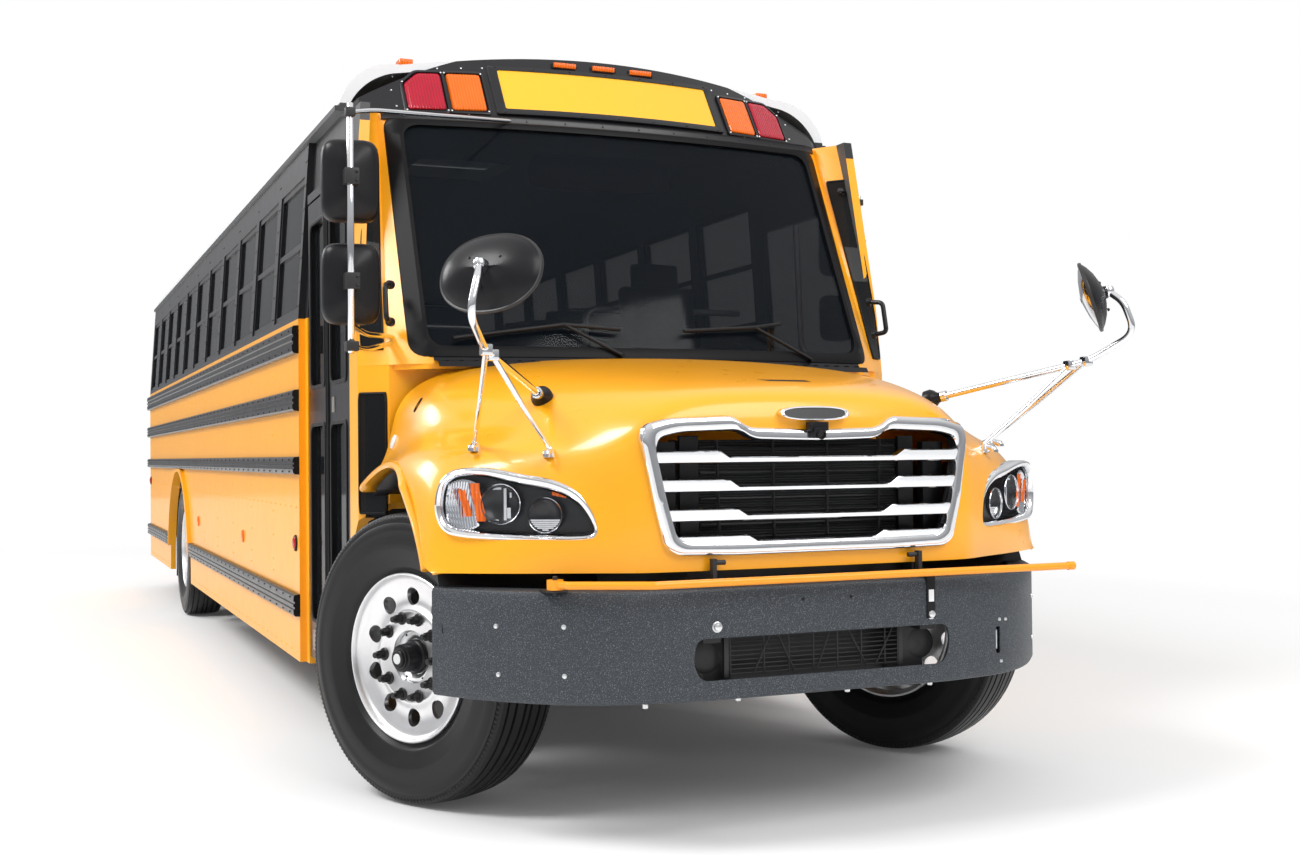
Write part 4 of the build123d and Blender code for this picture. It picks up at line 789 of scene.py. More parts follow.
def makeHood():
    bm = bmesh.new()
    rows = []
    for row in hoodCage:
        half = [at(x, y, z) for x, y, z in row]
        rows.append([Vector((p.x, -p.y, p.z)) for p in reversed(half[1:])] + half)
    addGrid(bm, rows)
    cage = meshOf(bm, "hoodShape")
    shell = evaluated(cage, [("SUBSURF", {"levels": 3, "render_levels": 3,
                                          "boundary_smooth": "PRESERVE_CORNERS"}),
                             ("SOLIDIFY", {"thickness": hoodLook["thickness"], "offset": -1.0})])
    cutters = []
    for side in (1, -1):
        cutters.append(cylinderCutter(hoodLook["archCentre"], hoodLook["archRadius"], side * .55,
                                      side * 1.4))
        loop = []
        for along, height in [(p.x, p.y) for p in smoothLoop([(a * .975, h, 0) for a, h in bezelOuter], 3)]:
            high = lampPlace["z"] + (height - lampPlace["z"]) * .95
            loop.append((lampPoint(side, along, high, .15), lampPoint(side, along, high, -.16)))
        cutters.append(outlineCutter(loop))
    ring = roundedCorners([(y * .97, 1.13 + (z - 1.13) * .965) for y, z in grilleOuter], .03)
    cutters.append(outlineCutter([(at(1.2, y, z), at(.93, y, z)) for y, z in ring]))
    cutters.append(outlineCutter([(at(x, y, 1.6), at(x, y, 1.4)) for y, x in ventOutline()]))
    shape = cutWith(shell, cutters)
    hood = piece("hoodShell", shape, "yellow", "hood", .6)
    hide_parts("hood_shell")
    return BVHTree.FromPolygons([v.co for v in shape.vertices], [list(p.vertices) for p in shape.polygons])


def hoodSpot(side, measured):
    # point and normal on the hood behind a measured point, on the sight line from ahead
    eye = Vector(shot["place"])
    eye.y *= -side
    start = at(measured[0], side * measured[1], measured[2])
    spot, normal = hoodTree.ray_cast(eye, (start - eye).normalized())[:2]
    if spot is None:
        spot, normal = hoodTree.find_nearest(start)[:2]
    return spot, normal


def makeVent():
    # dark insert of the slot in the hood's top
    bm = bmesh.new()
    top, low = [], []
    for y, x in ventOutline():
        spot = hoodTree.ray_cast(at(.862 + (x - .862) * 1.25, y * 1.06, 1.7), Vector((0, 0, -1)))[0]
        z = spot.z - .0015 + (x - .862) * .05
        top.append(at(.862 + (x - .862) * .985, y * .992, z))
        low.append(at(.862 + (x - .862) * .985, y * .992, z - .01))
    grid = addGrid(bm, [low, top], False, True)
    bm.faces.new(grid[-1])
    bm.faces.new(list(reversed(grid[0])))
    piece("hoodVent", bm, "rubber", "hood")


def fenderHalf(x):
    # half-width of the fender's side at its arch
    return 1.2065 if x < .45 else 1.2065 - (x - .45) * .055


def makeArchLips():
    # rolled lips round the front wheel openings
    bm = bmesh.new()
    x0, z0 = hoodLook["archCentre"]
    for side in (1, -1):
        rows = []
        for step in range(49):
            turn = math.radians(27 + 95 * step / 48)
            c, s = math.cos(turn), math.sin(turn)
            y = fenderHalf(x0 + c * .625)
            row = []
            for radius, inset in ((.64, .02), (.642, .006), (.636, -.004), (.624, -.004), (.616, .004),
                                  (.614, .055)):
                lean = max(0, z0 + s * radius - 1.14) * .42
                row.append(at(x0 + c * radius, side * (y - inset - lean), z0 + s * radius))
            rows.append(row)
        addGrid(bm, rows)
    lip = piece("fenderLips", bm, "yellow", "hood", .8)
    lip.modifiers.new("edge", "SOLIDIFY").thickness = .003


def makeShadeLiners():
    # inner wheel housings under the hood, black as painted shade inside the wheel arches
    bm = bmesh.new()
    for side in (1, -1):
        rows = []
        for step in range(25):
            turn = math.radians(8 + 118 * step / 24)
            c, s = math.cos(turn), math.sin(turn)
            rows.append([at(.06 + c * .63, side * y, min(.59 + s * .63, 1.2))
                         for y in (1.15, 1.02, .88, .74, .6)])
        addGrid(bm, rows)
    shadeLiner = piece("archShadeLiners", bm, "plastic", "hood", .8)
    shadeLiner.modifiers.new("skin", "SOLIDIFY").thickness = .004


badge = {"y": 0.0, "z": 1.374, "halfWidth": .128, "halfHeight": .024, "x": 1.098}


def makeBadge():
    # blank oval plate with a bright border
    bm = bmesh.new()
    lean = -.28
    rings = []
    for grow, depth in ((1.0, -.03), (1.0, 0.0), (.985, .004), (.94, .0055), (.9, .004), (.88, .001)):
        halfHeight = badge["halfHeight"] * (1 - (1 - grow) * 2.2)
        oval = [(y, badge["z"] + z) for y, z in superOval(badge["halfWidth"] * grow, halfHeight, 2.6, 40)]
        rings.append([at(badge["x"] - .008 + depth + (z - badge["z"]) * lean - abs(y) * .03, y, z)
                      for y, z in oval])
    addGrid(bm, rings, False, True, 0)
    inner = [bm.verts.new(p) for p in rings[-1]]
    bm.faces.new(inner).material_index = 1
    plate = piece("blankBadge", bm, ["chrome", "black"], "hood", .6)


def makeNoseCamera():
    bm = bmesh.new()
    addBox(bm, at(1.086, -.036, 1.315), at(1.112, .036, 1.345), .004)
    addBox(bm, at(1.09, -.022, 1.292), at(1.122, .022, 1.326), .006)
    lensRing = [(0, 0), (.01, 0), (.01, .01), (.016, .012), (.016, .015), (0, .015)]
    addLathe(bm, lensRing, at(1.116, 0, 1.306), (1, 0, -.3), 20)
    for y in (-.03, .03):
        addDome(bm, at(1.112, y, 1.336), (1, 0, 0), .0045, .003)
    piece("noseCamera", bm, "plastic", "hood")


def makeGrille():
    # bright surround with four stepped bars
    bm = bmesh.new()
    outer = roundedCorners(grilleOuter, grilleShape["radius"], 6)
    x = grilleShape["frontX"]

    def shrunk(amount):
        middle = grilleShape["middleZ"]
        return [(y * (1 - amount / .58), middle + (z - middle) * (1 - amount / .2)) for y, z in outer]

    def bowX(y, z):
        return -.02 * (y / .6) ** 2 - max(0, z - 1.1) * .05

    rows = [[at(x + depth + bowX(y, z), y, z) for y, z in shrunk(amount)]
            for amount, depth in grilleShape["frame"]]
    addGrid(bm, rows, False, True)
    for z, stepY, drop, half in grilleShape["bars"]:
        stations = [-half, -stepY - .02, -stepY, -stepY + .032, -stepY + .05, 0]
        stations += [-y for y in reversed(stations[:-1])]
        rows = []
        for y in stations:
            inside = min(1.0, max(0.0, (stepY - abs(y)) / .032))
            top = z + .0225 - drop * inside
            low = z - .0165
            face = x + .004 + bowX(y, z)
            section = [(-.038, top + .001), (-.004, top), (.001, top - .004), (0, (top + low) / 2),
                       (-.003, low + .003), (-.008, low), (-.038, low + .004)]
            rows.append([at(face + depth, y, level) for depth, level in section])
        addGrid(bm, rows, False, True)
    surround = piece("chromeGrille", meshOf(bm, "grilleBars"), "chrome", "hood", .5)
    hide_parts("grille")


def makeCoolerGuard():
    # posts, tubes and bolts seen behind the grille
    bm = bmesh.new()
    for side in (1, -1):
        addBox(bm, at(.968, side * .38, .9), at(.985, side * .44, 1.3), .003)
        addBox(bm, at(.965, side * .47, .92), at(1.0, side * .55, 1.28), .004)
        for z in (.96, 1.06, 1.16, 1.25):
            addDome(bm, at(1.0, side * .5, z), (1, 0, 0), .01, .006)
    for k in range(9):
        z = .93 + k * .042
        addBar(bm, at(.975, -.37, z), at(.975, .37, z), .0055, 6)
    for y in (-.3, -.1, .1, .3):
        addBar(bm, at(.982, y, .9), at(.982, y * 1.03, 1.29), .0045, 6)
    piece("coolerGuard", bm, "plastic", "hood")


def addSlab(bm, middle, along, up, out, halfWide, halfTall, halfDeep):
    # small block set in a plane given by its three axes
    corners = []
    for depth in (-halfDeep, halfDeep):
        corners.append([bm.verts.new(middle + along * a * halfWide + up * b * halfTall + out * depth)
                        for a, b in ((-1, -1), (1, -1), (1, 1), (-1, 1))])
    bm.faces.new(corners[0])
    bm.faces.new(corners[1])
    for k in range(4):
        bm.faces.new((corners[0][k], corners[0][(k + 1) % 4], corners[1][(k + 1) % 4], corners[1][k]))


lampShape = {
    # share of the way from the bezel's outer to its inner outline, and height off the lamp's plane
    "bezel": ((0, -.035), (0, .004), (.12, .013), (.38, .016), (.7, .011), (1, -.002), (1.03, -.03)),
    "housing": ((1, -.004), (1.06, -.045)),
    "cover": ((.98, .001), (1.25, .007), (1.7, .01)),
    # wells: along, height, radius
    "big": (-.0604, 1.0906, .065),
    "small": (.0822, 1.054, .057),
    # bright vanes in the big well: offset along, low, high, half-width
    "vanes": ((.012, -.052, .05, .0045), (.024, -.046, -.012, .006), (-.02, .046, .053, .02),
              (-.026, -.056, -.05, .016), (.03, .02, .036, .003)),
    # amber strips: along, width, low, high, depth
    "ambers": ((-.15, .03, 1.036, 1.158, -.006), (-.188, .024, 1.052, 1.136, -.002)),
}


def signalRows(side):
    # fluted reflector of the turn signal
    rows = []
    for k in range(25):
        share = k / 24
        along = -.24 + .108 * share
        row = []
        for t in range(17):
            height = 1.022 + .13 * t / 16 + .018 * share * (1 - share) * 4 * (t / 8 - 1)
            proud = -.03 + .018 * share + .0035 * (k % 2) + .003 * (t % 2)
            row.append(lampPoint(side, along - .01 * math.sin(math.pi * t / 16), height, proud))
        rows.append(row)
    return rows


def amberRows(side, along, wide, low, high, deep):
    # one bent amber strip of the turn signal
    rows = []
    for k in range(5):
        row = []
        for t in range(13):
            place = along + wide * k / 4 + .01 * math.cos(math.pi * t / 12)
            row.append(lampPoint(side, place, low + (high - low) * t / 12,
                                 deep + .004 * (k % 2) - .002 * (t % 2)))
        rows.append(row)
    return rows


def markerRows(side):
    # small amber marker at the lamp's inner end
    rows = []
    for k in range(7):
        along, height = .104 + .046 * k / 6, 1.118 - .01 * k / 6
        rows.append([lampPoint(side, along, height + .014 * t, -.018 + .003 * (k % 2)) for t in range(2)])
    return rows


def makeHeadlamps():
    bezel, housing, bowls, ambers, covers = (bmesh.new() for _ in range(5))
    for side in (1, -1):
        outer = [(p.x, p.y) for p in smoothLoop([(a, h, 0) for a, h in bezelOuter], 4)]
        inner = [(p.x, p.y) for p in smoothLoop([(a, h, 0) for a, h in bezelInner], 4)]
        count = len(outer)

        def loop(share, proud):
            out = []
            for k in range(count):
                a = outer[k][0] * (1 - share) + inner[k][0] * share
                h = outer[k][1] * (1 - share) + inner[k][1] * share
                wrap = -.9 * max(0.0, -a - .13) ** 2 - .25 * max(0.0, a - .15) ** 2
                out.append(lampPoint(side, a, h, proud + wrap))
            return out
        addGrid(bezel, [loop(*level) for level in lampShape["bezel"]], False, True)
        grid = addGrid(housing, [loop(*level) for level in lampShape["housing"]], False, True)
        housing.faces.new(grid[-1])
        matrix, out = lampMatrix(side, 0)
        up = Vector((0, 0, 1))
        for along, height, radius in (lampShape["big"], lampShape["small"]):
            centre = lampPoint(side, along, height, -.016)
            rim = [(.004, .99), (.014, 1), (.016, .975), (.013, .945), (.004, .935)]
            addLathe(bowls, [(deep, radius * share) for deep, share in rim], centre, out, 48)
            well = [(.006, radius * .94), (-.004, radius * .8), (-.014, radius * .45), (-.017, 0)]
            addLathe(housing, well, centre, out, 36)
        # bright vanes inside the two wells
        big = lampPoint(side, *lampShape["big"][:2], -.02)
        across = (matrix.to_3x3() @ Vector((1, 0, 0))).normalized()
        for reach, low, high, wide in lampShape["vanes"]:
            middle = big + across * reach + up * (low + high) / 2
            addSlab(bowls, middle, across, up, out, wide, (high - low) / 2, .003)
        small = lampPoint(side, *lampShape["small"][:2], -.018)
        for k in range(6):
            height = -.016 - .0062 * k
            wide = math.sqrt(max(0.0, .052 ** 2 - (height - .004) ** 2))
            addSlab(bowls, small + up * height, across, up, out, wide, .0024, .004)
        addGrid(bowls, signalRows(side))
        for strip in lampShape["ambers"]:
            addGrid(ambers, amberRows(side, *strip))
        addGrid(ambers, markerRows(side))
        grid = addGrid(covers, [loop(*level) for level in lampShape["cover"]], False, True)
        covers.faces.new(grid[-1])
    ring = piece("lampBezels", bezel, "chrome", "hood", .9)
    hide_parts("headlamps")
    piece("lampHousings", housing, "black", "hood", .6)
    piece("lampBowls", bowls, "cup", "hood", .6)
    piece("lampAmbers", ambers, "amber", "hood", .6)
    glass = piece("lampCovers", covers, "clear", "hood", .9)


hoodTree = makeHood()
makeVent()
makeArchLips()
makeShadeLiners()
makeBadge()
makeNoseCamera()
makeGrille()
makeCoolerGuard()
makeHeadlamps()
print("hood made")


# front bumper
bumperShape = {"low": .472, "high": .824, "edge": .016, "sheet": .008}
bumperPlan = [(1.15, 0), (1.15, .24), (1.149, .44), (1.132, .56), (1.085, .745), (.985, .905),
              (.815, 1.065), (.64, 1.172)]


def makeBumper():
    bm = bmesh.new()
    half = smoothLine([(x, y, 0) for x, y in bumperPlan], 5)
    path = [Vector((p.x, -p.y, 0)) for p in reversed(half[1:])] + half
    low, high, edge = bumperShape["low"], bumperShape["high"], bumperShape["edge"]
    section = [(.085, high), (.05, high), (edge, high), (edge * .4, high - edge * .25), (0, high - edge),
               (0, high - .08), (0, .65), (0, low + .06), (0, low + edge), (edge * .4, low + edge * .25),
               (edge, low), (.05, low), (.075, low)]
    rows = []
    for i, point in enumerate(path):
        ahead = wayAlong(path, i)
        inward = Vector((-ahead.y, ahead.x, 0))
        rows.append([at(point.x + inward.x * depth, point.y + inward.y * depth, z) for depth, z in section])
    addGrid(bm, rows)
    shell = evaluated(meshOf(bm, "bumperSheet"),
                      [("SOLIDIFY", {"thickness": bumperShape["sheet"], "offset": -1.0})])
    slot = roundedCorners([(-.477, .592), (-.462, .668), (.462, .668), (.472, .6), (.445, .536),
                           (-.452, .536)], .03, 5)
    latch = roundedCorners([(.69, .548), (.712, .548), (.712, .64), (.69, .64)], .008, 3)
    cutters = [outlineCutter([(at(1.3, y, z), at(1.0, y, z)) for y, z in ring]) for ring in (slot, latch)]
    shape = cutWith(shell, cutters)
    bumper = piece("frontBumper", shape, "bumper", "bus_body", .6)
    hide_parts("front_bumper")


def makeBumperGrid():
    # wire grid, frame and tow pins in the bumper's slot
    bm = bmesh.new()
    for k in range(9):
        z = .546 + k * .0145
        addBar(bm, at(1.105, -.345 + abs(z - .6) * .2, z), at(1.105, .29, z), .0022, 6)
    for y in (-.33, -.21, -.12, -.03, .06, .15, .24, .29):
        addBar(bm, at(1.109, y, .54), at(1.109, y, .666), .0024, 6)
    for a, b in ((-.25, -.19), (-.1, -.16), (-.02, .03), (.17, .1), (.2, .27)):
        addBar(bm, at(1.112, a, .54), at(1.112, b, .666), .0024, 6)
    for y in (-.345, .3):
        addBox(bm, at(1.095, y - .008, .536), at(1.112, y + .008, .672), .002)
    addBox(bm, at(.985, -.37, .5), at(.99, .37, .79), .001)
    for side in (1, -1):
        towPin = [(-.05, .052), (-.01, .056), (0, .052), (.004, .04), (0, 0)]
        addLathe(bm, towPin, at(1.075, side * .4, .6), (1, 0, 0), 24)
        addBox(bm, at(.985, side * .36 - .05, .5), at(1.075, side * .36 + .05, .72), .006)
    addBox(bm, at(1.06, .7 - .022, .545), at(1.078, .7 + .022, .645), .002)
    piece("bumperGrid", bm, "satin", "bus_body")


# bolts in the bumper's face: x, y, z, size
bumperBolts = ((.861, -1.021, .711, .009), (.866, -1.016, .56, .009), (1.017, -.854, .715, .009),
               (1.018, -.853, .564, .009), (1.15, -.395, .703, .014), (1.15, .396, .703, .014),
               (1.093, .706, .664, .007), (1.081, .74, .662, .007), (1.092, .712, .52, .007),
               (.861, 1.021, .711, .009), (.866, 1.016, .56, .009))


def makeBumperBolts():
    bm = bmesh.new()
    for x, y, z, size in bumperBolts:
        point = at(x, y, z)
        normal = Vector((1, 0, 0))
        if abs(y) > .95:
            normal = Vector((.6, math.copysign(.8, y), 0))
        elif abs(y) >= .5:
            normal = Vector((.82, math.copysign(.5, y), 0))
        head = [(-.004, 1.25), (.002, 1.25), (.0035, .98), (.009, .82), (.011, .4), (.0112, 0)]
        addLathe(bm, [(deep, size * share) for deep, share in head], point, normal, 12)
    addBar(bm, at(1.082, .7, .56), at(1.082, .7, .63), .01, 12)
    for y in (-.62, -.3, .1, .42):
        addLathe(bm, [(0, 0), (0, .009), (.012, .009), (.014, .006), (.014, 0)], at(1.1, y, .472),
                 (0, 0, -1), 8)
    piece("bumperBolts", bm, "bolt", "bus_body")


def makeArmGear():
    # strap that holds the crossing arm, its blank plate, and the arm's hinge bracket
    bm = bmesh.new()
    for y in (-.089, .089):
        addLathe(bm, [(-.002, 0), (.0008, 0), (.0008, .0055), (-.002, .0055)], at(1.1502, y, .776),
                 (1, 0, 0), 16)
    addBox(bm, at(1.1505, .378, .69), at(1.156, .41, .835), .0015)
    addBox(bm, at(1.09, .378, .828), at(1.156, .41, .834), .0015)
    piece("armStrap", bm, "rubber", "bus_body")
    bm = bmesh.new()
    addBox(bm, at(1.1562, .384, .745), at(1.1572, .404, .785), .0004)
    piece("strapPlate", bm, "white", "bus_body")
    bm = bmesh.new()
    addBox(bm, at(.955, -.915, .822), at(1.03, -.845, .828), .002)
    addBar(bm, at(1.01, -.88, .812), at(1.01, -.88, .872), .0078, 16)
    addBox(bm, at(.958, -.905, .76), at(.975, -.855, .826), .002)
    piece("armBracket", bm, "satin", "bus_body")


makeBumper()
makeBumperGrid()
makeBumperBolts()
makeArmGear()
print("bumper made")


# wheels
wheelShape = {"radius": .525, "segments": 360, "steer": math.radians(26.9), "kingpin": .93,
              "frontOffset": .11, "rearOuter": 1.062, "rearInner": .728, "studCircle": .142875}


def tyreMesh():
    # ribbed highway tyre about its own y axis, with a notched shoulder
    half = [(.0945, .292), (.098, .304), (.108, .318), (.116, .326), (.119, .33), (.121, .338),
            (.131, .36), (.1375, .385), (.1385, .388), (.1395, .392), (.14, .41), (.1398, .43),
            (.1385, .452), (.1392, .455), (.1375, .466), (.134, .482), (.1325, .484), (.132, .49),
            (.1305, .4965), (.129, .498), (.1265, .5065), (.122, .5125), (.116, .5155), (.104, .518)]
    crown = [(.0985, .519), (.0965, .508), (.0915, .508), (.0895, .52), (.064, .5222), (.062, .5105),
             (.054, .5105), (.052, .5228), (.02, .5245), (.018, .513), (.01, .513), (.008, .5248),
             (0, .525)]
    profile = half + crown
    profile = profile + [(-y, r) for y, r in reversed(profile[:-1])]
    bm = bmesh.new()
    segments = wheelShape["segments"]
    notched = {19, 20, 21}
    last = len(profile) - 1
    rows = []
    for step in range(segments):
        turn = 2 * math.pi * step / segments
        row = []
        for i, (y, r) in enumerate(profile):
            inner = min(i, last - i)
            if inner in notched and step % 2:
                y, r = y * .978, r - .0022
            row.append(turned(r, turn, y))
        rows.append(row)
    addGrid(bm, rows, True)
    return meshOf(bm, "tyre")


def holeCutters(count, circle, radius, reach, start):
    bm = bmesh.new()
    for k in range(count):
        turn = 2 * math.pi * (k + start) / count
        profile = [(reach[0], 0), (reach[0], radius), (reach[1], radius), (reach[1], 0)]
        addLathe(bm, profile, turned(circle, turn, 0), (0, 1, 0), 24)
    bmesh.ops.remove_doubles(bm, verts=bm.verts, dist=.0003)
    return meshOf(bm, "holeCutter")


def rimMesh(name, face, back):
    # disc wheel about its own y axis: face profile outside, back profile behind it
    bm = bmesh.new()
    ring = face + list(reversed(back))
    addLathe(bm, ring, (0, 0, 0), (0, 1, 0), 120, 0, True)
    shape = meshOf(bm, name)
    return cutWith(shape, [holeCutters(10, .218, .0325, (-.16, .16), .5)])


# rim profiles (y, radius): lip and tyre seat, then each disc's outer and inner side
rimLip = [(.1135, .3035), (.1165, .3005), (.116, .2965), (.111, .2925)]
rimSeat = [(.1, .3035), (.095, .296), (.094, .29), (-.093, .29), (-.096, .3035),
           (-.111, .3035), (-.111, .296)]
frontFace = rimLip + [
    (.102, .289), (.095, .285), (.0905, .277), (.088, .268), (.0845, .256), (.079, .242),
    (.0755, .228), (.074, .212), (.0745, .198), (.0775, .188), (.083, .18), (.088, .174),
    (.0905, .169), (.091, .164), (.0905, .16), (.0895, .158), (.0895, .099), (.088, .096),
    (.08, .0945), (.04, .0945)]
frontBack = rimSeat + [
    (-.09, .278), (.05, .27), (.06, .25), (.059, .212), (.064, .185), (.072, .165),
    (.073, .1), (.04, .099)]
rearFace = rimLip + [
    (.1, .289), (.08, .286), (0, .28), (-.045, .274), (-.065, .264), (-.076, .25),
    (-.083, .232), (-.085, .212), (-.083, .196), (-.078, .185), (-.072, .178), (-.069, .17),
    (-.0685, .16), (-.069, .1), (-.072, .088), (-.08, .087)]
rearBack = rimSeat + [
    (-.105, .278), (-.098, .25), (-.099, .212), (-.095, .185), (-.086, .17), (-.085, .1),
    (-.084, .089)]
# washer, hexagon and stud tip of a wheel nut: sides, profile
nutShape = ((20, [(-.002, .0235), (.004, .0235), (.0075, .0195), (.0085, .0165)]),
            (6, [(.004, .0165), (.03, .0165), (.034, .0135), (.034, .0115)]),
            (12, [(.03, .011), (.047, .011), (.049, .0095), (.049, 0)]))


def addNut(bm, centre, out):
    for sides, profile in nutShape:
        addLathe(bm, profile, centre, out, sides)


def frontHub():
    # nuts, bright hub bore and black oil cap
    bm = bmesh.new()
    for k in range(10):
        turn = 2 * math.pi * k / 10
        addNut(bm, turned(wheelShape["studCircle"], turn, .0895), (0, 1, 0))
    collar = [(.05, .094), (.066, .094), (.07, .09), (.071, .079), (.066, .072), (.06, .064),
              (.06, .056)]
    addLathe(bm, collar, (0, 0, 0), (0, 1, 0), 48, 2)
    cap = [(.058, .062), (.076, .062), (.08, .059), (.082, .056), (.1, .052), (.128, .05),
           (.134, .048), (.136, .04), (.138, .033), (.15, .031), (.153, .028), (.1535, 0)]
    addLathe(bm, cap, (0, 0, 0), (0, 1, 0), 48, 1)
    for k in range(6):
        turn = 2 * math.pi * k / 6
        addDome(bm, turned(.0855, turn, .0685), (0, 1, 0), .005, .006)
    addLathe(bm, [(.152, 0), (.1545, 0), (.1545, .018), (.152, .02)], (0, 0, 0), (0, 1, 0), 24, 2)
    return meshOf(bm, "frontHub")


def rearHub():
    bm = bmesh.new()
    for k in range(10):
        turn = 2 * math.pi * k / 10
        addNut(bm, turned(wheelShape["studCircle"], turn, -.069), (0, 1, 0))
    cap = [(-.085, .088), (-.02, .086), (-.005, .084), (0.0, .079), (.001, .06), (.01, .056),
           (.014, .05), (.015, 0)]
    addLathe(bm, cap, (0, 0, 0), (0, 1, 0), 48, 1)
    for k in range(8):
        turn = 2 * math.pi * k / 8
        addLathe(bm, [(0, .009), (.011, .009), (.013, .006), (.013, 0)], turned(.07, turn, 0), (0, 1, 0), 6)
    return meshOf(bm, "rearHub")


def wheelMatrix(side, front, inner=False):
    if front:
        turn = Matrix.Rotation(wheelShape["steer"], 4, "Z")
        flip = Matrix.Rotation(math.pi, 4, "Z") if side < 0 else Matrix.Identity(4)
        offset = Matrix.Translation((0, side * wheelShape["frontOffset"], 0))
        return Matrix.Translation(at(0, side * wheelShape["kingpin"],
                                     wheelShape["radius"])) @ turn @ offset @ flip
    y = wheelShape["rearInner"] if inner else wheelShape["rearOuter"]
    flip = Matrix.Rotation(math.pi, 4, "Z") if (side < 0) != inner else Matrix.Identity(4)
    return Matrix.Translation(at(bodyShape["rearAxle"], side * y, wheelShape["radius"])) @ flip


def placed(name, mesh, finish, body, matrix, flat):
    made = linked(name, mesh)
    if not mesh.materials:
        dress(mesh, finish, flat)
    made.matrix_world = matrix
    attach(made, body)
    return made


def makeWheels():
    tyre = tyreMesh()
    frontRim = rimMesh("frontRim", frontFace, frontBack)
    rearRim = rimMesh("rearRim", rearFace, rearBack)
    frontParts, rearParts = frontHub(), rearHub()
    for word, side in (("left", 1), ("right", -1)):
        title = word.capitalize()
        body = f"front_wheel_{word}"
        matrix = wheelMatrix(side, True)
        made = placed(f"frontTyre{title}", tyre, ["tyre"], body, matrix, .5)
        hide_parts(f"front_tyre_{word}")
        made = placed(f"frontRim{title}", frontRim, ["alloy"], body, matrix, .6)
        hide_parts(f"front_rim_{word}")
        placed(f"frontHub{title}", frontParts, ["nut", "plastic", "bolt"], body, matrix, .6)
        body = f"rear_wheels_{word}"
        for inner in (False, True):
            matrix = wheelMatrix(side, False, inner)
            ring = "Inner" if inner else "Outer"
            made = placed(f"rearTyre{ring}{title}", tyre, ["tyre"], body, matrix, .5)
            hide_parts(f"rear_tyres_{word}")
            made = placed(f"rearRim{ring}{title}", rearRim, ["alloy"], body, matrix, .6)
            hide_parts(f"rear_rims_{word}")
        placed(f"rearHub{title}", rearParts, ["nut", "alloy"], body, wheelMatrix(side, False), .6)


makeWheels()
print("wheels made")


# cap with sign and lamps
capShape = {"low": 2.672, "high": 3.01, "x": -.598, "lean": .225, "bow": .202, "corner": 1.08}
signShape = {"half": .5, "low": 2.714, "high": 2.922}


def capX(y, z, proud=0.0):
    share = (z - capShape["low"]) / (capShape["high"] - capShape["low"])
    return capShape["x"] - capShape["lean"] * share - capShape["bow"] * (y / capShape["corner"]) ** 2 + proud


def capAt(y, z, proud=0.0):
    return at(capX(y, z, proud), y, z)


def capBand(bm, outline, layers, fill):
    # closed outline of (y, z) on the cap's face; layers of (inset share, proud)
    middleY = sum(y for y, z in outline) / len(outline)
    middleZ = sum(z for y, z in outline) / len(outline)
    rows = []
    for share, proud in layers:
        rows.append([capAt(middleY + (y - middleY) * (1 - share), middleZ + (z - middleZ) * (1 - share),
                           proud) for y, z in outline])
    addGrid(bm, rows, False, True)
    if fill:
        outer = rows[-1]
        count = 8
        for level in range(count):
            inner = [p.lerp(capAt(middleY, middleZ, fill), (level + 1) / count) for p in rows[-1]]
            inner = [at(capX(p.y, p.z, fill), p.y, p.z) for p in inner]
            addGrid(bm, [outer, inner], False, True)
            outer = inner


def panelOutline(y0, y1, z0, z1, radius=.012, cut=0.0):
    # rectangle with rounded corners; cut slopes the top corner away from the middle
    points = [(y0, z0), (y1, z0), (y1, z1), (y0, z1)]
    if cut > 0:
        points = [(y0, z0), (y1, z0), (y1, z1 - cut), (y1 - cut * 1.1, z1), (y0, z1)]
    return denser(roundedCorners(points, radius, 4), lambda a, b: max(1, int(math.dist(a, b) / .03)))


def makeSign():
    bm = bmesh.new()
    half, low, high = signShape["half"], signShape["low"], signShape["high"]
    capBand(bm, panelOutline(-half, half, low, high, .008), [(0, -.002), (0, .012), (.01, .0125)], .0125)
    face = piece("blankSign", bm, "signYellow", "bus_body")
    bm = bmesh.new()
    outline = panelOutline(-half - .034, half + .034, low - .022, high + .016, .012)
    inner = panelOutline(-half + .006, half - .006, low + .006, high - .006, .01)
    count = min(len(outline), len(inner))
    outer = [outline[round(k * len(outline) / count) % len(outline)] for k in range(count)]
    inner = [inner[round(k * len(inner) / count) % len(inner)] for k in range(count)]
    rows = []
    for share, proud in ((0, -.004), (0, .01), (.08, .0155), (.9, .0175), (1, .015), (1, .002)):
        rows.append([capAt(a[0] + (b[0] - a[0]) * share, a[1] + (b[1] - a[1]) * share, proud) for a,
                     b in zip(outer, inner)])
    addGrid(bm, rows, False, True)
    for z in (low - .01, high + .008):
        for k in range(7):
            addDome(bm, capAt(-half + 2 * half * k / 6, z, .016), (1, 0, .5), .0055, .004)
    border = piece("signFrame", bm, "black", "bus_body")


capBoltSpots = ((.55, 2.925), (.64, 2.92), (.74, 2.915), (.84, 2.905), (.93, 2.87), (.945, 2.8),
                (.935, 2.72), (.84, 2.687), (.65, 2.687))


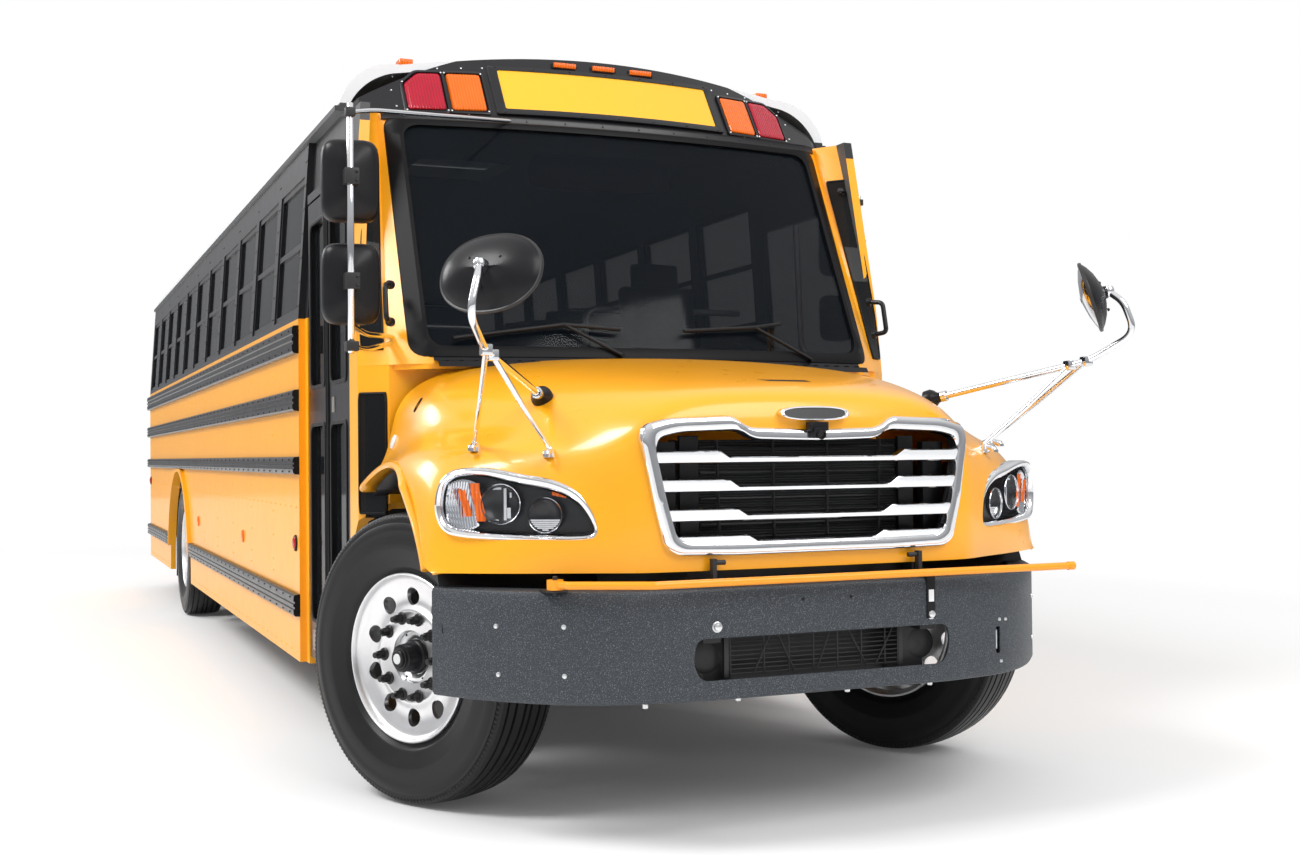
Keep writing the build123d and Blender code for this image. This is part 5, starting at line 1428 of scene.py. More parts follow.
def makeLamps():
    lensAmber, lensRed, frames, bolts = bmesh.new(), bmesh.new(), bmesh.new(), bmesh.new()
    for side in (1, -1):
        for bm, y0, y1, cut in ((lensAmber, .574, .714, 0.0), (lensRed, .74, .893, .055)):
            outline = [(side * y, z) for y, z in panelOutline(y0, y1, 2.704, 2.886, .014, cut)]
            capBand(bm, outline, [(0, .002), (0, .013), (.05, .019)], .021)
            capBand(frames, [(side * y, z) for y, z in panelOutline(y0 - .016, y1 + .016, 2.688, 2.902,
                                                                    .018, cut * 1.1)],
                    [(0, -.004), (0, .012), (.05, .015), (.1, .015), (.12, .006)], 0)
            for y, z in ((y0 - .006, 2.7), (y1 + .006, 2.7), (y0 - .006, 2.89),
                         (y1 + .006, 2.89 - cut * .9)):
                addDome(bolts, capAt(side * y, z, .014), (1, 0, .5), .005, .004)
        for bm, y0, y1 in ((lensAmber, .574, .714), (lensRed, .74, .893)):
            centre = at(bodyShape["rearX"], side * (y0 + y1) / 2, 2.735)
            place = placeOf(centre, (0, side, 0), (0, 0, 1))
            addRoundLens(bm, place, .068)
            addLathe(frames, [(-.002, .086), (.012, .086), (.016, .08), (.016, .07), (.004, .07)],
                     centre, (-1, 0, 0), 40)
    red = piece("stopLenses", lensRed, "red", "bus_body")
    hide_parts("warning_lamps")
    amber = piece("amberLenses", lensAmber, "amber", "bus_body")
    ring = piece("lampFrames", frames, "black", "bus_body")
    for y, z in capBoltSpots:
        for side in (1, -1):
            addDome(bolts, capAt(side * y, z, .0005), (1, 0, .5), .005, .004)
    piece("capBolts", bolts, "bolt", "bus_body")


def addRoundLens(bm, place, radius):
    out = (place.to_3x3() @ Vector((0, 0, 1))).normalized()
    if out.x > 0:
        out = -out
    profile = [(-.002, radius), (.01, radius), (.014, radius * .96), (.018, radius * .72),
               (.02, radius * .38), (.0205, 0)]
    addLathe(bm, profile, place.translation, out, 40)


def makeMarkers():
    # amber roof markers in front, red ones behind, and the side markers
    amber, red, bases = bmesh.new(), bmesh.new(), bmesh.new()
    for y in (-.181, 0, .181):
        addBox(bases, capAt(y, 2.957, -.03) - Vector((0, .06, .01)),
               capAt(y, 2.957, .006) + Vector((0, .06, .014)), .004)
        addBox(amber, capAt(y, 2.96, -.012) - Vector((0, .052, .008)),
               capAt(y, 2.96, .016) + Vector((0, .052, .014)), .006)
        addBox(red, at(-10.0, y - .04, 2.925), at(-9.972, y + .04, 2.948), .006)
    for y in (-.86, .86):
        addBox(amber, at(-.99, y - .03, 2.935), at(-.91, y + .03, 2.962), .008)
    for side in (1, -1):
        for x, z, bm in ((sideX(0) - .09, .85, red), (-9.867, 1.04, red)):
            centre = at(x, side * bodyShape["wallY"], z)
            addLathe(bases, [(-.003, .038), (.006, .038), (.009, .034), (.009, .03)], centre, (0, side, 0),
                     28)
            addLathe(bm, [(-.002, .031), (.009, .031), (.014, .024), (.016, .012), (.0165, 0)], centre,
                     (0, side, 0), 28)
    made = piece("amberMarkers", amber, "amber", "bus_body")
    made = piece("redMarkers", red, "markerRed", "bus_body")
    piece("markerBases", bases, "rubber", "bus_body")


makeSign()
makeLamps()
makeMarkers()
print("cap made")


# windshield surround
screenShape = {"low": 1.6, "high": 2.672, "corner": -.188, "cornerTop": -.693, "bow": .095,
               "half": .96, "pillar": 1.088}


def screenX(y, z, proud=0.0):
    share = (z - screenShape["low"]) / (screenShape["high"] - screenShape["low"])
    corner = screenShape["corner"] + (screenShape["cornerTop"] - screenShape["corner"]) * share
    if abs(y) <= screenShape["half"]:
        return corner + screenShape["bow"] * (1 - (y / screenShape["half"]) ** 2) + proud
    pillarY = screenShape["pillar"] - .06 * share
    back = .11 - .07 * share
    return corner - back * (abs(y) - screenShape["half"]) / (pillarY - screenShape["half"]) + proud


def screenAt(y, z, proud):
    return at(screenX(y, z, proud), y, z)


def screenOutline(wide, tall):
    half = screenShape["half"] + wide
    foot = half + .008
    low, high = 1.65 - tall, 2.638 + min(tall, .03)
    ring = roundedCorners([(-foot, low), (foot, low), (half, high), (-half, high)], .07, 6)
    return denser(ring, lambda a, b: 40 if math.dist(a, b) > .5 else 1)


# section of the glass's black edge: how far it goes out sideways, how far up and down, height off the glass
sealLayers = ((-.02, -.022, -.012), (-.018, -.02, .006), (-.002, -.006, .01), (.03, .012, .008),
              (.05, .022, .006), (.054, .026, -.006))


def makeGasket():
    bm = bmesh.new()
    rows = []
    for wide, tall, proud in sealLayers:
        rows.append([screenAt(y, z, proud) for y, z in screenOutline(wide, tall)])
    addGrid(bm, rows, False, True)
    seal = piece("windshieldSeal", bm, "frit", "bus_body")


def makeApron():
    # black apron between the glass and the hood, with its air slots
    bm = bmesh.new()
    rows = []
    for k in range(41):
        y = -.94 + 1.88 * k / 40
        rows.append([at(screenX(y, 1.65, .004), y, 1.64), at(screenX(y, 1.62, .01), y, 1.612),
                     at(screenX(y, 1.6, .06), y, 1.606), at(screenX(y, 1.6, .075), y, 1.585)])
    addGrid(bm, rows)
    for k in range(34):
        y = -.9 + 1.8 * k / 33
        if abs(y) < .18 or abs(y) > .55:
            addBox(bm, at(screenX(y, 1.6, .018), y - .004, 1.606),
                   at(screenX(y, 1.6, .052), y + .004, 1.613), .001)
    piece("cowlApron", bm, "plastic", "bus_body")


def makeHeader():
    # header strip over the glass
    bm = bmesh.new()
    rows = []
    for z, proud in ((2.64, .006), (2.645, .011), (2.664, .013), (2.6725, .018), (2.6725, -.004)):
        rows.append([screenAt(-1.02 + 2.04 * k / 60, z, proud) for k in range(61)])
    addGrid(bm, rows)
    for k in range(12):
        y = -.93 + 1.86 * k / 11
        addDome(bm, screenAt(y, 2.656, .012), (1, 0, .4), .005, .0035)
    piece("headerStrip", bm, "black", "bus_body")


def cornerAt(share, z, proud):
    # point on the cab's corner face: share runs from the pillar to the front post
    if z < screenShape["low"]:
        inner, outer = Vector((-.3, 1.088)), Vector((-.4, 1.189))
    else:
        level = (z - screenShape["low"]) / (screenShape["high"] - screenShape["low"])
        inner = Vector((-.298 - .435 * level, 1.088 - .06 * level))
        outer = Vector((-.4 - .16 * level, wallY(z) - .03))
    spot = inner.lerp(outer, share)
    out = Vector((outer.y - inner.y, inner.x - outer.x)).normalized()
    return spot + out * proud


def addCornerPane(panes, seals, side, low, high, near, far):
    outline = roundedCorners([(near, low), (far, low), (far, high), (near, high)], .05, 4)
    dense = denser(outline, lambda a, b: max(1, int(abs(a[1] - b[1]) / .05)))
    rows = []
    for shrink, proud in ((-.1, -.002), (-.08, .007), (0, .009), (.05, .004)):
        row = []
        for share, z in dense:
            middle = (near + far) / 2
            wide = middle + (share - middle) * (1 - shrink)
            tall = (low + high) / 2 + (z - (low + high) / 2) * (1 - shrink * .13 / (high - low))
            spot = cornerAt(wide, tall, proud)
            row.append(at(spot.x, side * spot.y, tall))
        rows.append(row)
    addGrid(seals, rows, False, True)
    grid = []
    for k in range(21):
        z = low + (high - low) * k / 20
        row = []
        for share in (near, (near + far) / 2, far):
            spot = cornerAt(share, z, .0045)
            row.append(at(spot.x, side * spot.y, z))
        grid.append(row)
    addGrid(panes, grid)


def makeCornerPanes():
    panes, seals = bmesh.new(), bmesh.new()
    for side in (1, -1):
        addCornerPane(panes, seals, side, 1.668, 2.5, .16, .84)
        addCornerPane(panes, seals, side, 1.03, 1.49, .1, .93)
    piece("cornerPanes", panes, "dark", "bus_body")
    piece("cornerSeals", seals, "rubber", "bus_body")


makeCornerPanes()
makeGasket()
makeApron()
makeHeader()
print("surround made")


# mirrors
mirrorTable = {
    "right": {"pole": (0.0, -1.294), "low": 1.65, "high": 2.495, "turn": -8,
              "heads": ((2.262, .153, .107), (1.882, .15, .107)),
              "top": (-.66, -.423, 2.668), "foot": (-.345, -1.06, 1.69)},
    "left": {"pole": (-.85, 1.35), "low": 1.8, "high": 2.455, "turn": 20,
             "heads": ((2.245, .141, .1), (1.9, .112, .1)),
             "top": (-.56, 1.08, 2.45), "foot": (-.52, 1.18, 1.745)},
}


def addSoftBox(bm, place, halfWidth, halfHeight, layers, power=5.0):
    # rounded shell: layers of (scale, depth) along the place's z axis, closed at both ends
    rows = []
    for scale, depth in layers:
        tall = halfHeight - halfWidth * (1 - scale) if scale > .05 else 0
        rows.append([place @ Vector((u, v, depth)) for u,
                     v in superOval(halfWidth * scale, tall, power, 48)])
    addGrid(bm, rows, False, True)


sideMirrorProfile = {
    # layers of a head and its pane: scale, depth
    "head": [(0, .06), (.12, .058), (.45, .046), (.75, .034), (.9, .024), (.97, .01), (1, -.008),
             (1, -.03), (.975, -.036), (.93, -.034)],
    "pane": [(.93, -.0335), (.9, -.0345), (.5, -.037), (0, -.038)],
    "foot": [(-.03, 0), (-.03, .034), (0, .034), (.008, .026), (.016, .018), (.016, 0)],
}


def makeSideMirrors():
    heads, poles, clamps, glasses = bmesh.new(), bmesh.new(), bmesh.new(), bmesh.new()
    for word, facts in mirrorTable.items():
        x, y = facts["pole"]
        side = -1 if word == "right" else 1
        reach = 1.39
        for z, halfHeight, halfWidth in facts["heads"]:
            turn = math.radians(facts["turn"])
            width = halfWidth * abs(math.cos(turn)) + .05 * abs(math.sin(turn))
            middle = at(x - .085, side * (reach - width), z)
            out = Vector((math.cos(turn), math.sin(turn), 0))
            place = placeOf(middle, Vector((-out.y, out.x, 0)), (0, 0, 1))
            addSoftBox(heads, place, halfWidth, halfHeight, sideMirrorProfile["head"])
            addSoftBox(glasses, place, halfWidth, halfHeight, sideMirrorProfile["pane"])
            addBox(clamps, at(x - .036, y - .022, z - .03), at(x + .02, y + .03, z + .03), .005)
            near, far = sorted((y, middle.y))
            addBox(clamps, at(x - .04, near - .004, z - .022), at(x - .012, far + .004, z + .022), .004)
            for level in (-.016, .016):
                addDome(clamps, at(x + .02, y + .02, z + level), (1, 0, 0), .006, .007, 6)
        foot, top = at(*facts["foot"]), at(*facts["top"])
        addBar(poles, at(x, y, facts["low"] - .03), at(x, y, facts["high"] + .035), .0125, 20)
        corner = at(x, y, facts["high"])
        stay = [corner, corner + (top - corner) * .12 + Vector((0, 0, .012)), top]
        addTube(poles, roundedPath(stay, .05), .0085, 12)
        addDome(clamps, top, (0, 0, 1), .018, .012, 12)
        for lift, offset in ((0.0, 0.0), (.075, .1)):
            start = at(x, y, facts["low"] + lift)
            end = foot + Vector((0, 0, offset * .2))
            arm = [start, start + (end - start) * .3 + Vector((0, 0, -.02)), end]
            addTube(poles, roundedPath(arm, .06), .0105, 14)
        low, high = facts["low"], facts["high"]
        addBox(clamps, at(x - .024, y - .022, low - .022), at(x + .024, y + .024, low + .014), .005)
        addBox(clamps, at(x - .018, y - .018, high - .014), at(x + .018, y + .018, high + .016), .004)
        addLathe(clamps, sideMirrorProfile["foot"], foot, (corner - foot) * Vector((1, 1, 0)), 20)
        for k in range(3):
            addDome(clamps, foot + Vector((.012, side * .012, -.022 + .022 * k)), (.6, side * .8, 0), .0055,
                    .006, 6)
    shown = piece("mirrorHeads", heads, "plastic", "bus_body", .9)
    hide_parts("side_mirrors")
    poles = piece("mirrorPoles", poles, "chrome", "bus_body", .8)
    piece("mirrorClamps", clamps, "satin", "bus_body")
    piece("mirrorPanes", glasses, "mirror", "bus_body", .9)


crossTable = {"head": (1.134, 1.133, 1.797), "ball": (1.205, 1.177, 1.765), "elbow": (1.228, 1.208, 1.654),
              "join": (1.088, 1.122, 1.564), "cone": (.722, .814, 1.427),
              "feet": ((.65, 1.026, 1.262), (.905, .858, 1.24)), "halfWidth": .176,
              "halfHeight": .126}


crossProfile = {
    # layers of the oval shells: scale, depth
    "head": [(.02, .052), (.25, .05), (.5, .043), (.72, .031), (.88, .016), (.965, .004), (.985, -.002)],
    "rim": [(.965, .002), (1, .003), (1.015, -.002), (1.01, -.008), (.975, -.01), (.96, -.006)],
    "pane": [(.975, -.006), (.85, -.016), (.65, -.027), (.4, -.035), (.2, -.038), (.02, -.039)],
    # turned parts: along, radius
    "boss": [(-.008, 0), (-.008, .024), (.004, .022), (.01, .014), (.016, .012), (.018, 0)],
    "ball": [(-.02, 0), (-.018, .013), (-.008, .019), (.008, .019), (.018, .013), (.02, 0)],
    "footPost": [(0, .018), (.012, .017), (.026, .012), (.034, .01), (.036, 0)],
    "wingEnd": [(-.006, 0), (-.006, .0125), (.003, .0125), (.006, .009), (.006, 0)],
    "cone": [(-.022, 0), (-.02, .036), (.004, .038), (.016, .032), (.03, .02), (.048, .016), (.05, 0)],
    "collar": [(-.01, .016), (-.008, .02), (.012, .02), (.014, .014)],
}


def makeCrossMirrors():
    heads, rims, panes, arms, clamps = (bmesh.new() for _ in range(5))
    for side in (1, -1):
        def spot(point):
            return at(point[0], side * point[1], point[2])
        out = Vector((.62, side * .72, .3)).normalized()
        across = Vector((0, 0, 1)).cross(out).normalized()
        middle = spot(crossTable["head"]) - out * .03
        place = placeOf(middle, across, out.cross(across))
        if (place.to_3x3() @ Vector((0, 0, 1))).dot(out) < 0:
            place = placeOf(middle, -across, out.cross(across))
        wide, tall = crossTable["halfWidth"], crossTable["halfHeight"]
        for bm, part in ((heads, "head"), (rims, "rim"), (panes, "pane")):
            addSoftBox(bm, place, wide, tall, crossProfile[part], 2.15)
        back = middle + out * .05
        ball, elbow, join = (spot(crossTable[name]) for name in ("ball", "elbow", "join"))
        cone, coneOut = hoodSpot(side, crossTable["cone"])
        cone = cone + coneOut * .012
        addLathe(clamps, crossProfile["boss"], back, out, 20)
        for k in range(3):
            turn = 2 * math.pi * k / 3 + .5
            around = across * math.cos(turn) + out.cross(across) * math.sin(turn)
            addDome(clamps, middle + out * .04 + around * .062, out, .006, .006)
        axis = (join - cone).normalized()
        path = roundedPath([back + out * .01, ball, elbow, join, cone + axis * .03], .055, 8)
        addTube(arms, path, .012, 16)
        addLathe(arms, crossProfile["ball"], back + out * .012, (0, 0, 1), 16)
        for k, foot in enumerate(crossTable["feet"]):
            end = hoodSpot(side, foot)[0] + Vector((0, 0, .018))
            start = join + (cone - join) * (.02 + .1 * k)
            addTube(arms, [start, start + (end - start) * .5, end + Vector((0, 0, .012))], .0088, 12)
            addBox(arms, start - Vector((.017, .017, .017)), start + Vector((.017, .017, .017)), .006)
            addLathe(arms, crossProfile["footPost"], end - Vector((0, 0, .02)), (0, 0, 1), 16)
            for turn in (0, math.pi):
                wing = Matrix.Rotation(turn + side * .6, 3, "Z")
                tip = end + wing @ Vector((.038, 0, -.012))
                bar = [end + Vector((0, 0, .002)), tip + Vector((0, 0, .004)), tip - Vector((0, 0, .006))]
                addTube(arms, bar, .0115, 10)
                addLathe(arms, crossProfile["wingEnd"], tip, (0, 0, 1), 12)
        addLathe(clamps, crossProfile["cone"], cone, axis, 24)
        addLathe(arms, crossProfile["collar"], cone + axis * .052, axis, 16)
    shown = piece("crossHeads", heads, "plastic", "hood", .9)
    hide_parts("cross_view_mirrors")
    piece("crossRims", rims, "satin", "hood", .9)
    piece("crossPanes", panes, "mirror", "hood", .9)
    tubes = piece("crossArms", arms, "chrome", "hood", .8)
    piece("crossClamps", clamps, "plastic", "hood", .8)


makeSideMirrors()
makeCrossMirrors()
print("mirrors made")


# seats
seatShape = {"rows": 11, "pitch": .74, "first": -2.065, "inner": .18, "outer": 1.115,
             "seatZ": (1.345, 1.452), "backZ": (1.395, 2.05), "backThick": .088, "lean": .095,
             "frameZ": 1.4}


def paddedForm(size, rounding, voxel, cap):
    # cushion blown up by cloth pressure from a smaller block, its swell capped
    bm = bmesh.new()
    addBox(bm, Vector(size) * -.5, Vector(size) * .5, rounding)
    shape = meshOf(bm, "cushionStart")
    shape = evaluated(shape, [("REMESH", {"mode": "VOXEL", "voxel_size": voxel})])
    still = [v.co.copy() for v in shape.vertices]
    base = linked("cushionCloth", shape)
    cloth = base.modifiers.new("cloth", "CLOTH")
    cloth.settings.quality = 4
    cloth.settings.mass = .3
    cloth.settings.use_pressure = True
    cloth.settings.uniform_pressure_force = 3.2
    cloth.settings.tension_stiffness = 25
    cloth.settings.effector_weights.gravity = 0
    cloth.point_cache.frame_start = 1
    cloth.point_cache.frame_end = 20
    for step in range(1, 21):
        bpy.context.scene.frame_set(step)
    blown = frozen(base)
    bpy.data.objects.remove(base)
    bpy.context.scene.frame_set(1)
    for vert, rest in zip(blown.vertices, still):
        move = vert.co - rest
        if move.length > cap:
            vert.co = rest + move * (cap / move.length)
    shape = blown
    shape.materials.clear()
    return shape


def makeSeats():
    width = seatShape["outer"] - seatShape["inner"]
    low, high = seatShape["seatZ"]
    cushion = paddedForm((.385, width - .03, high - low - .022), .028, .02, .016)
    backLow, backHigh = seatShape["backZ"]
    back = paddedForm((seatShape["backThick"] - .022, width - .03, backHigh - backLow - .03), .026, .02,
                      .014)
    seams = bmesh.new()
    oval = superOval(.186, width / 2 - .022, 6.0, 64, 1)
    addTube(seams, [Vector((x, y, .036)) for x, y in oval], .0045, 6)
    cushionSeam = meshOf(seams, "cushionSeam")
    seams = bmesh.new()
    oval = superOval(width / 2 - .02, (backHigh - backLow) / 2 * .955, 2 / .3, 64, 1)
    for x in (-.032, .032):
        addTube(seams, [Vector((x, y, z)) for y, z in oval], .0045, 6)
    backSeam = meshOf(seams, "backSeam")
    legs = bmesh.new()
    frameZ = seatShape["frameZ"]
    for x in (.02, .27):
        bend = Vector((x, -width / 2 + .1, -.07))
        leg = [Vector((x, -width / 2 + .1, 1.035 - frameZ)), bend, Vector((x, width / 2 - .02, -.07))]
        addTube(legs, roundedPath(leg, .05), .014, 10)
        addBox(legs, (x - .03, -width / 2 + .06, 1.018 - frameZ),
               (x + .03, -width / 2 + .14, 1.03 - frameZ), .003)
        for y in (-.028, .028):
            addDome(legs, (x, -width / 2 + .1 + y, 1.03 - frameZ), (0, 0, 1), .007, .007, 6)
    for y in (-width / 2 + .1, width / 2 - .05):
        addBar(legs, Vector((-.1, y, -.065)), Vector((.3, y, -.065)), .012, 8)
    frameMesh = meshOf(legs, "seatFrame")
    tilt = Matrix.Rotation(-math.atan(seatShape["lean"] / .65), 4, "Y")
    first = True
    for row in range(seatShape["rows"]):
        x = seatShape["first"] - seatShape["pitch"] * row
        for side in (1, -1):
            middle = side * (seatShape["inner"] + seatShape["outer"]) / 2
            flip = Matrix.Scale(-1, 4, (0, 1, 0)) if side < 0 else Matrix.Identity(4)
            base = Matrix.Translation(at(x + .145, middle, (low + high) / 2))
            lean = Matrix.Translation(at(x - .082, middle, (backLow + backHigh) / 2)) @ tilt
            stem = Matrix.Translation(at(x, middle, seatShape["frameZ"])) @ flip
            word = f"{row + 1}{'Left' if side > 0 else 'Right'}"
            made = placed(f"benchCushion{word}", cushion, ["seat"], "bus_body", base, 3.2)
            if first:
                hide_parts("passenger_seats")
                first = False
            made = placed(f"benchBack{word}", back, ["seat"], "bus_body", lean, 3.2)
            placed(f"cushionSeam{word}", cushionSeam, ["rubber"], "bus_body", base, .8)
            placed(f"backSeam{word}", backSeam, ["rubber"], "bus_body", lean, .8)
            placed(f"benchFrame{word}", frameMesh, ["satin"], "bus_body", stem, .8)


driverPlace = {"x": -1.245, "y": .56}


def makeDriverSeat():
    x, y = driverPlace["x"], driverPlace["y"]
    cushion = paddedForm((.42, .44, .095), .03, .014, .016)
    back = paddedForm((.085, .42, .6), .03, .014, .016)
    rest = paddedForm((.065, .25, .15), .026, .01, .012)
    spots = ((cushion, "driverCushion", at(x, y, 1.455), 0.0),
             (back, "driverBack", at(x - .225, y, 1.8), -.16),
             (rest, "driverRest", at(x - .285, y, 2.13), -.12))
    first = True
    for mesh, name, place, lean in spots:
        made = placed(name, mesh, ["driverSeat"], "bus_body",
                      Matrix.Translation(place) @ Matrix.Rotation(lean, 4, "Y"), 3.2)
        if first:
            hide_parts("driver_seat")
            first = False
    bm = bmesh.new()
    addBox(bm, at(x - .2, y - .19, 1.39), at(x + .2, y + .19, 1.412), .004)
    for k in range(5):
        z = 1.13 + k * .052
        inset = .012 * (k % 2)
        addBox(bm, at(x - .16 + inset, y - .15 + inset, z), at(x + .16 - inset, y + .15 - inset, z + .055),
               .01)
    addBox(bm, at(x - .19, y - .17, 1.005), at(x + .19, y + .17, 1.13), .006)
    for side in (1, -1):
        addBar(bm, at(x - .265, y + side * .07, 2.04), at(x - .28, y + side * .07, 2.12), .006, 8)
        rest = [(-.25, .235, 1.62), (-.05, .245, 1.64), (.06, .245, 1.63)]
        addTube(bm, roundedPath([at(x + dx, y + side * dy, z) for dx, dy, z in rest], .04), .018, 10)
        addBar(bm, at(x - .24, y + side * .2, 1.62), at(x - .24, y + side * .26, 1.62), .014, 10)
    addTube(bm, [at(x - .2, y + .2, 1.44), at(x - .24, y + .12, 1.72), at(x - .25, y - .1, 1.98)], .011,
            8)
    piece("driverStand", bm, "plastic", "bus_body")


makeSeats()
makeDriverSeat()
print("seats made")


# rub rails
railTable = ((1.855, .13), (1.56, .1), (1.251, .083))
skirtShape = {"top": .62, "height": .103, "arch": .855}


def addRail(bm, side, x0, x1, top, height):
    section = [(1.217, 0), (1.24, .002), (1.247, .01), (1.249, .3 * height), (1.2425, .34 * height),
               (1.2425, .42 * height), (1.249, .46 * height), (1.249, .54 * height), (1.2425, .58 * height),
               (1.2425, .66 * height), (1.249, .7 * height), (1.247, height - .01),
               (1.24, height - .002), (1.217, height)]
    rows = [[at(x, side * y, top - drop) for y, drop in section] for x in (x0, x1)]
    shut = [[Vector((row[0].x, side * 1.217, top - drop)) for y, drop in section] for row in rows]
    addGrid(bm, [shut[0], rows[0], rows[1], shut[1]])
    count = int((x1 - x0) / .19)
    for k in range(count):
        x = x0 + (k + .5) * (x1 - x0) / count
        for drop in (.17, .83):
            addDome(bm, at(x, side * 1.2485, top - drop * height), (0, side, 0), .0052, .0036, 6)


def makeRails():
    bm = bmesh.new()
    for side in (1, -1):
        for top, height in railTable:
            addRail(bm, side, bodyShape["rearX"], bodyShape["firstPost"], top, height)
        top, height = skirtShape["top"], skirtShape["height"]
        addRail(bm, side, bodyShape["rearAxle"] + skirtShape["arch"], bodyShape["firstPost"], top, height)
        addRail(bm, side, bodyShape["rearX"], bodyShape["rearAxle"] - skirtShape["arch"], top, height)
    rails = piece("rubRails", bm, "black", "bus_body", .6)
    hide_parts("rub_rails")


def makeRivets():
    # rivets of the window posts, skirt seams and roof bows
    black, yellow, white = bmesh.new(), bmesh.new(), bmesh.new()
    for side in (1, -1):
        for post in range(12):
            x = sideX(post) + (.02 if post == 11 else 0)
            for offset in (-.017, .017):
                for k in range(7):
                    z = 1.945 + k * .112
                    spot = at(x + offset - (.02 if post == 0 else 0), side * (wallY(z) + .0003), z)
                    addDome(black, spot, (0, side, .06), .0048, .0032, 6)
            if 0 < post < 11:
                for z in (1.66, 1.36, 1.1, .98, .86, .74, .68):
                    addDome(yellow, at(x, side * 1.2193, z), (0, side, 0), .0048, .003, 6)
        for k in range(56):
            x = -1.62 - k * .15
            addDome(yellow, at(x, side * 1.2193, 1.018), (0, side, 0), .0048, .003, 6)
            if abs(x + 7.06) > .84:
                addDome(yellow, at(x, side * 1.2193, .35), (0, side, 0), .0048, .003, 6)
    for post in range(1, 12):
        for k in range(15):
            y = -.86 + k * .1229
            addDome(white, at(sideX(post) + .38, y, 3.0 - .082 * (y / .9) ** 2 - .0005), (0, y * .18, 1),
                    .005, .003, 6)
    for bm, name, finish in ((black, "postRivets", "black"), (yellow, "skirtRivets", "yellow"),
                             (white, "roofRivets", "white")):
        made = piece(name, bm, finish, "bus_body", .9)


def addRing(bm, place, u0, u1, v0, v1, radius, width, proud):
    # raised ring round a rounded rectangle in a place's plane
    rows = []
    section = ((-.4, -.002), (-.4, proud * .8), (-.1, proud), (.4, proud), (.6, proud * .7), (.6, -.002))
    for share, lift in section:
        grow = width * share
        left, right, low, high = u0 - grow, u1 + grow, v0 - grow, v1 + grow
        outline = roundedCorners([(left, low), (right, low), (right, high), (left, high)], radius, 5)
        rows.append([place @ Vector((u, v, lift)) for u, v in outline])
    addGrid(bm, rows, False, True)


def makeDoorDetails():
    # seals and kick plates of the two door leaves, and the front leaf's handle
    for word, x0, x1 in (("front", -1.0065, -.562), ("rear", -1.463, -1.0185)):
        seals, plates = bmesh.new(), bmesh.new()
        place = placeOf(at(0, bodyShape["doorY"], 0), (1, 0, 0), (0, 0, 1))
        if (place.to_3x3() @ Vector((0, 0, 1))).y > 0:
            place = placeOf(at(0, bodyShape["doorY"], 0), (-1, 0, 0), (0, 0, 1))
        flip = -1 if (place.to_3x3() @ Vector((1, 0, 0))).x < 0 else 1
        u0, u1 = sorted((flip * (x0 + .062), flip * (x1 - .062)))
        for low, high in ((1.56, 2.29), (.52, 1.39)):
            addRing(seals, place, u0, u1, low, high, .045, .016, .006)
        edge = x0 + .01 if word == "front" else x1 - .01
        addBar(seals, at(edge, -1.188, .36), at(edge, -1.188, 2.37), .006, 8)
        made = piece(f"doorSeals{word.capitalize()}", seals, "rubber", f"door_{word}")
        addBox(plates, at(x0 + .07, -1.188, .385), at(x1 - .07, -1.184, .475), .0015)
        for k in range(5):
            for z in (.397, .463):
                addDome(plates, at(x0 + .085 + k * .069, -1.188, z), (0, -1, 0), .004, .003, 6)
        if word == "front":
            addBox(plates, at(-.915, -1.19, 1.435), at(-.865, -1.184, 1.5), .002)
            for z in (1.445, 1.49):
                addDome(plates, at(-.89, -1.19, z), (0, -1, 0), .004, .003, 6)
        piece(f"doorPlates{word.capitalize()}", plates, "steel", f"door_{word}")


grabPath = ((-.29, 1.085, 1.765), (-.235, 1.112, 1.772), (-.262, 1.11, 1.905), (-.32, 1.078, 1.912))


def makeCabDetails():
    # grab handles on the pillars, oval slots and round markers of the hood
    bm = bmesh.new()
    for side in (1, -1):
        path = [at(x, side * y, z) for x, y, z in grabPath]
        addTube(bm, roundedPath(path, .022, 6), .0105, 10)
        for spot in (path[0], path[3]):
            addLathe(bm, [(-.01, 0), (-.01, .018), (.006, .018), (.009, .013), (.009, 0)], spot,
                     (.72, side * .69, 0), 14)
    piece("grabHandles", bm, "plastic", "bus_body")
    slots, marks = bmesh.new(), bmesh.new()
    for side in (1, -1):
        spot, normal = hoodSpot(side, (.076, 1.07, 1.432))
        up = Vector((side, 0, 0)).cross(normal).normalized()
        along = up.cross(normal)
        rows = []
        for grow, lift in ((1.0, -.001), (.92, .003), (.8, .002), (.76, -.004)):
            rows.append([spot + along * .008 * grow * math.cos(a) + up * .032 * grow * math.sin(a) + normal
                         * lift for a in [2 * math.pi * k / 24 for k in range(24)]])
        grid = addGrid(slots, rows, False, True)
        slots.faces.new(grid[-1])
        spot, normal = hoodSpot(side, (-.047, 1.13, 1.3))
        addLathe(marks, [(-.012, .028), (.004, .028), (.007, .024), (.008, .016), (.008, 0)], spot, normal,
                 24)
    piece("hoodSlots", slots, "rubber", "hood")
    piece("fenderMarks", marks, "signWhite", "hood")


